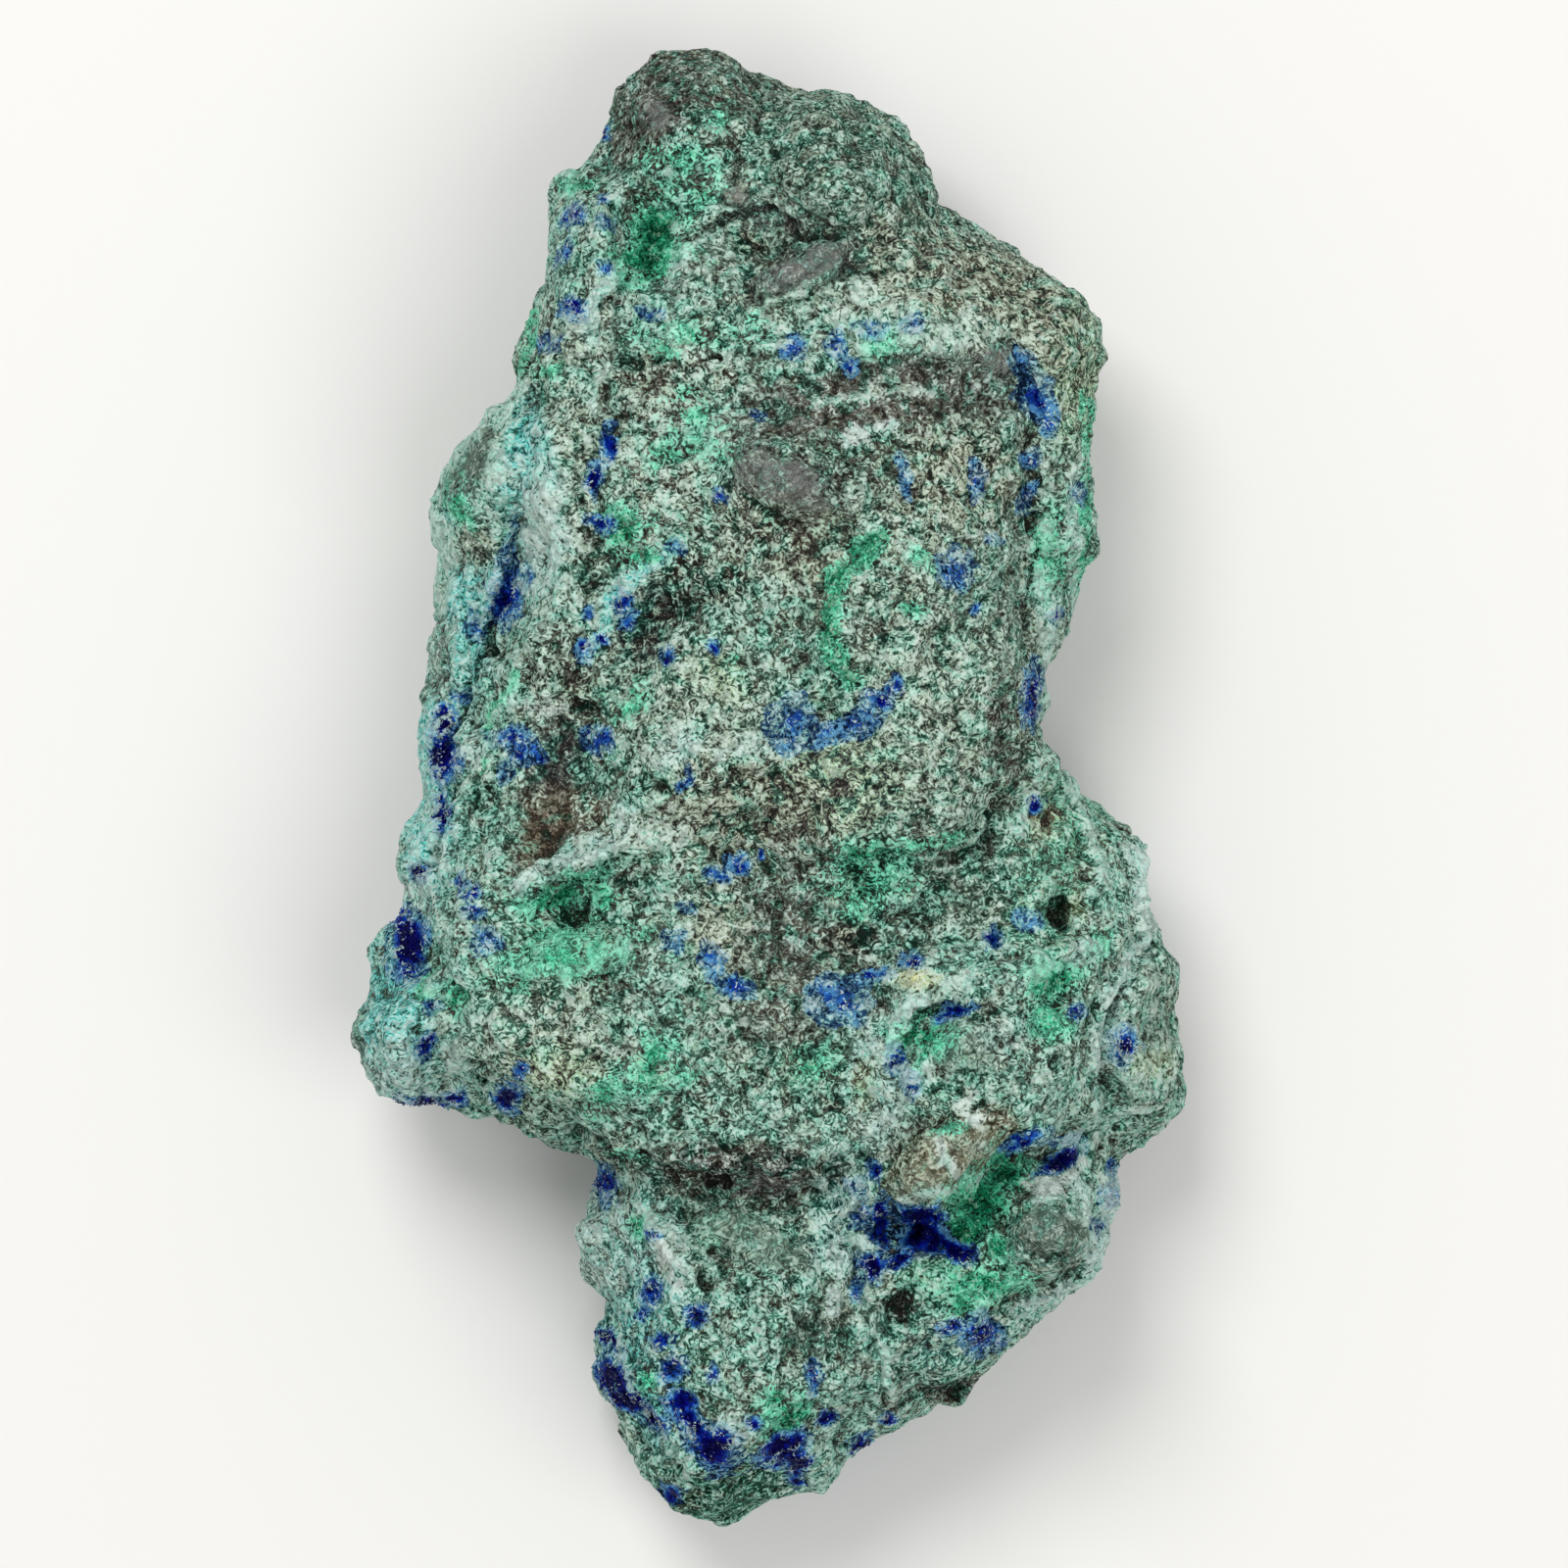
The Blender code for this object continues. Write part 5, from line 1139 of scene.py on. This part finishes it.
# %% Where the crystals grow
cloudy = np.empty(len(stone.data.vertices) * 3, dtype=np.float32)
stone.data.attributes["cloud"].data.foreach_get("vector", cloudy)
cloudy = cloudy.reshape(-1, 3)[:, 0]
azure = smooth_step(azurite + 2.0 * (cloudy - 0.5), 0.42, 0.6)
verdant = smooth_step(malachite + 2.0 * (cloudy - 0.5), 0.4, 0.55)
pale = smooth_step(flecks + 0.8 * (cloudy - 0.5) + 0.15 * np.clip(proud, -1, 1), 0.25, 0.95)
pale *= (1.0 - 0.85 * azure) * (1.0 - 0.6 * verdant) * (1.0 - 0.7 * hollow)
store(stone, "pale growth", pale)
store(stone, "azurite growth", azure)
store(stone, "malachite growth", verdant * (1.0 - azure))

# %% Grow them
grain_shape = crystal("grain", sides=4, sharpness=0.5, root=0.35)
blade_shape = crystal("blade", sides=4, sharpness=1.0, root=0.4)
crust_grains = scatter("crust_grains", grain_shape, "pale growth", per_mm2=0.6, sizes=(0.20, 0.42),
                       squash=0.5, tilt=35, sink=0.05, seed=3)
azurite_crystals = scatter("azurite_crystals", blade_shape, "azurite growth", per_mm2=5.0,
                           sizes=(0.22, 0.46), squash=0.7, tilt=45, sink=0.04, seed=20)
malachite_tufts = scatter("malachite_tufts", blade_shape, "malachite growth", per_mm2=5.0,
                          sizes=(0.22, 0.45), squash=0.6, tilt=40, sink=0.04, seed=40)
for shape in (grain_shape, blade_shape):
    bpy.data.objects.remove(shape)
for name in ("pale growth", "azurite growth", "malachite growth"):
    stone.data.attributes.remove(stone.data.attributes[name])

# %% [markdown]
# ## Finishes of the crystals
#
# Each kind of crystal carries on the colours of the skin under it, and one random tone for each
# crystal keeps neighbours apart. Azurite is the glossiest and the crust the dullest.

# %% Finishes of the crystals
crumb, tree, shader = begin("crust_grain")
inks = ink(tree)
pale = shade(tree, inks.outputs["Colour"], sum_up(tree, "MULTIPLY_ADD", painted(tree, "tone"), 0.3, 0.85))
tree.links.new(pale, shader.inputs["Base Color"])
shader.inputs["Roughness"].default_value = 0.75
shader.inputs["Specular IOR Level"].default_value = 0.12
crust_grains.data.materials.append(crumb)

gem, tree, shader = begin("azurite_crystal")
tone = painted(tree, "tone")
blue = sum_up(tree, "MULTIPLY_ADD", sum_up(tree, "SUBTRACT", tone, 0.5), -0.3, painted(tree, "azurite"))
blue = steps(tree, sum_up(tree, "MULTIPLY_ADD", blue, 1.4, -0.16), AZURITE_STEPS)
blue = mix(tree, 0.8, blue, ink(tree).outputs["Colour"])
tree.links.new(shade(tree, blue, sum_up(tree, "MULTIPLY_ADD", tone, 0.5, 0.7)), shader.inputs["Base Color"])
shader.inputs["Roughness"].default_value = 0.4
shader.inputs["Specular IOR Level"].default_value = 0.07
azurite_crystals.data.materials.append(gem)

tuft, tree, shader = begin("malachite_tuft")
tone = painted(tree, "tone")
green = shade(tree, ink(tree).outputs["Colour"], sum_up(tree, "MULTIPLY_ADD", tone, 0.4, 0.85))
tree.links.new(green, shader.inputs["Base Color"])
shader.inputs["Roughness"].default_value = 0.6
shader.inputs["Specular IOR Level"].default_value = 0.12
malachite_tufts.data.materials.append(tuft)

# %% [markdown]
# ## Camera, light and floor
#
# The specimen lies on its back, so the camera looks straight down on its face, from far enough
# away that the form isn't drawn out towards the edges. The lens is worked out from the width
# that the frame should hold at the height of the stone's rim. Two broad lamps and a bright room
# give a soft light with one gentle shadow, so that the colours of the crust stay true.

# %% Camera
CAMERA_HEIGHT = 1.2
FRAME_WIDTH = 127.0 * MM
RIM_HEIGHT = 18.0 * MM
FRAME_MIDDLE = (1.24 * MM, 0.04 * MM)

camera = bpy.data.objects.new("camera", bpy.data.cameras.new("camera"))
bpy.context.scene.collection.objects.link(camera)
camera.location = (*FRAME_MIDDLE, CAMERA_HEIGHT)
camera.data.lens = camera.data.sensor_width * (CAMERA_HEIGHT - RIM_HEIGHT) / FRAME_WIDTH
camera.data.clip_end = 10.0
bpy.context.scene.camera = camera

# %% Light
LAMPS = {"key": ((-0.2, 0.4, 0.85), 0.4, 4.4), "fill": ((0.35, -0.25, 0.9), 0.6, 3.0)}  # place, width, watts
LIT_MIDDLE = Vector((0, 0, 0.02))
ROOM_LIGHT = 0.58

for name, (place, width, watts) in LAMPS.items():
    light = bpy.data.objects.new(name, bpy.data.lights.new(name, "AREA"))
    light.data.shape = "DISK"
    light.data.size = width
    light.data.energy = watts
    light.location = place
    light.rotation_euler = (Vector(place) - LIT_MIDDLE).to_track_quat("Z", "Y").to_euler()
    bpy.context.scene.collection.objects.link(light)
world = bpy.data.worlds.new("studio")
bpy.context.scene.world = world
world.use_nodes = True
room = world.node_tree.nodes["Background"].inputs
room["Color"].default_value = (1, 1, 1, 1)
room["Strength"].default_value = ROOM_LIGHT
bpy.context.scene.view_settings.view_transform = "Standard"
print("lamps:", len(LAMPS))

# %% Floor
PAPER = (0.78, 0.77, 0.75, 1.0)

bpy.ops.object.select_all(action="DESELECT")
bpy.ops.mesh.primitive_plane_add(size=3.0, location=(0, 0, 0))
floor = bpy.context.active_object
floor.name = "floor"
paper, tree, shader = begin("paper")
shader.inputs["Base Color"].default_value = PAPER
shader.inputs["Roughness"].default_value = 0.9
floor.data.materials.append(paper)
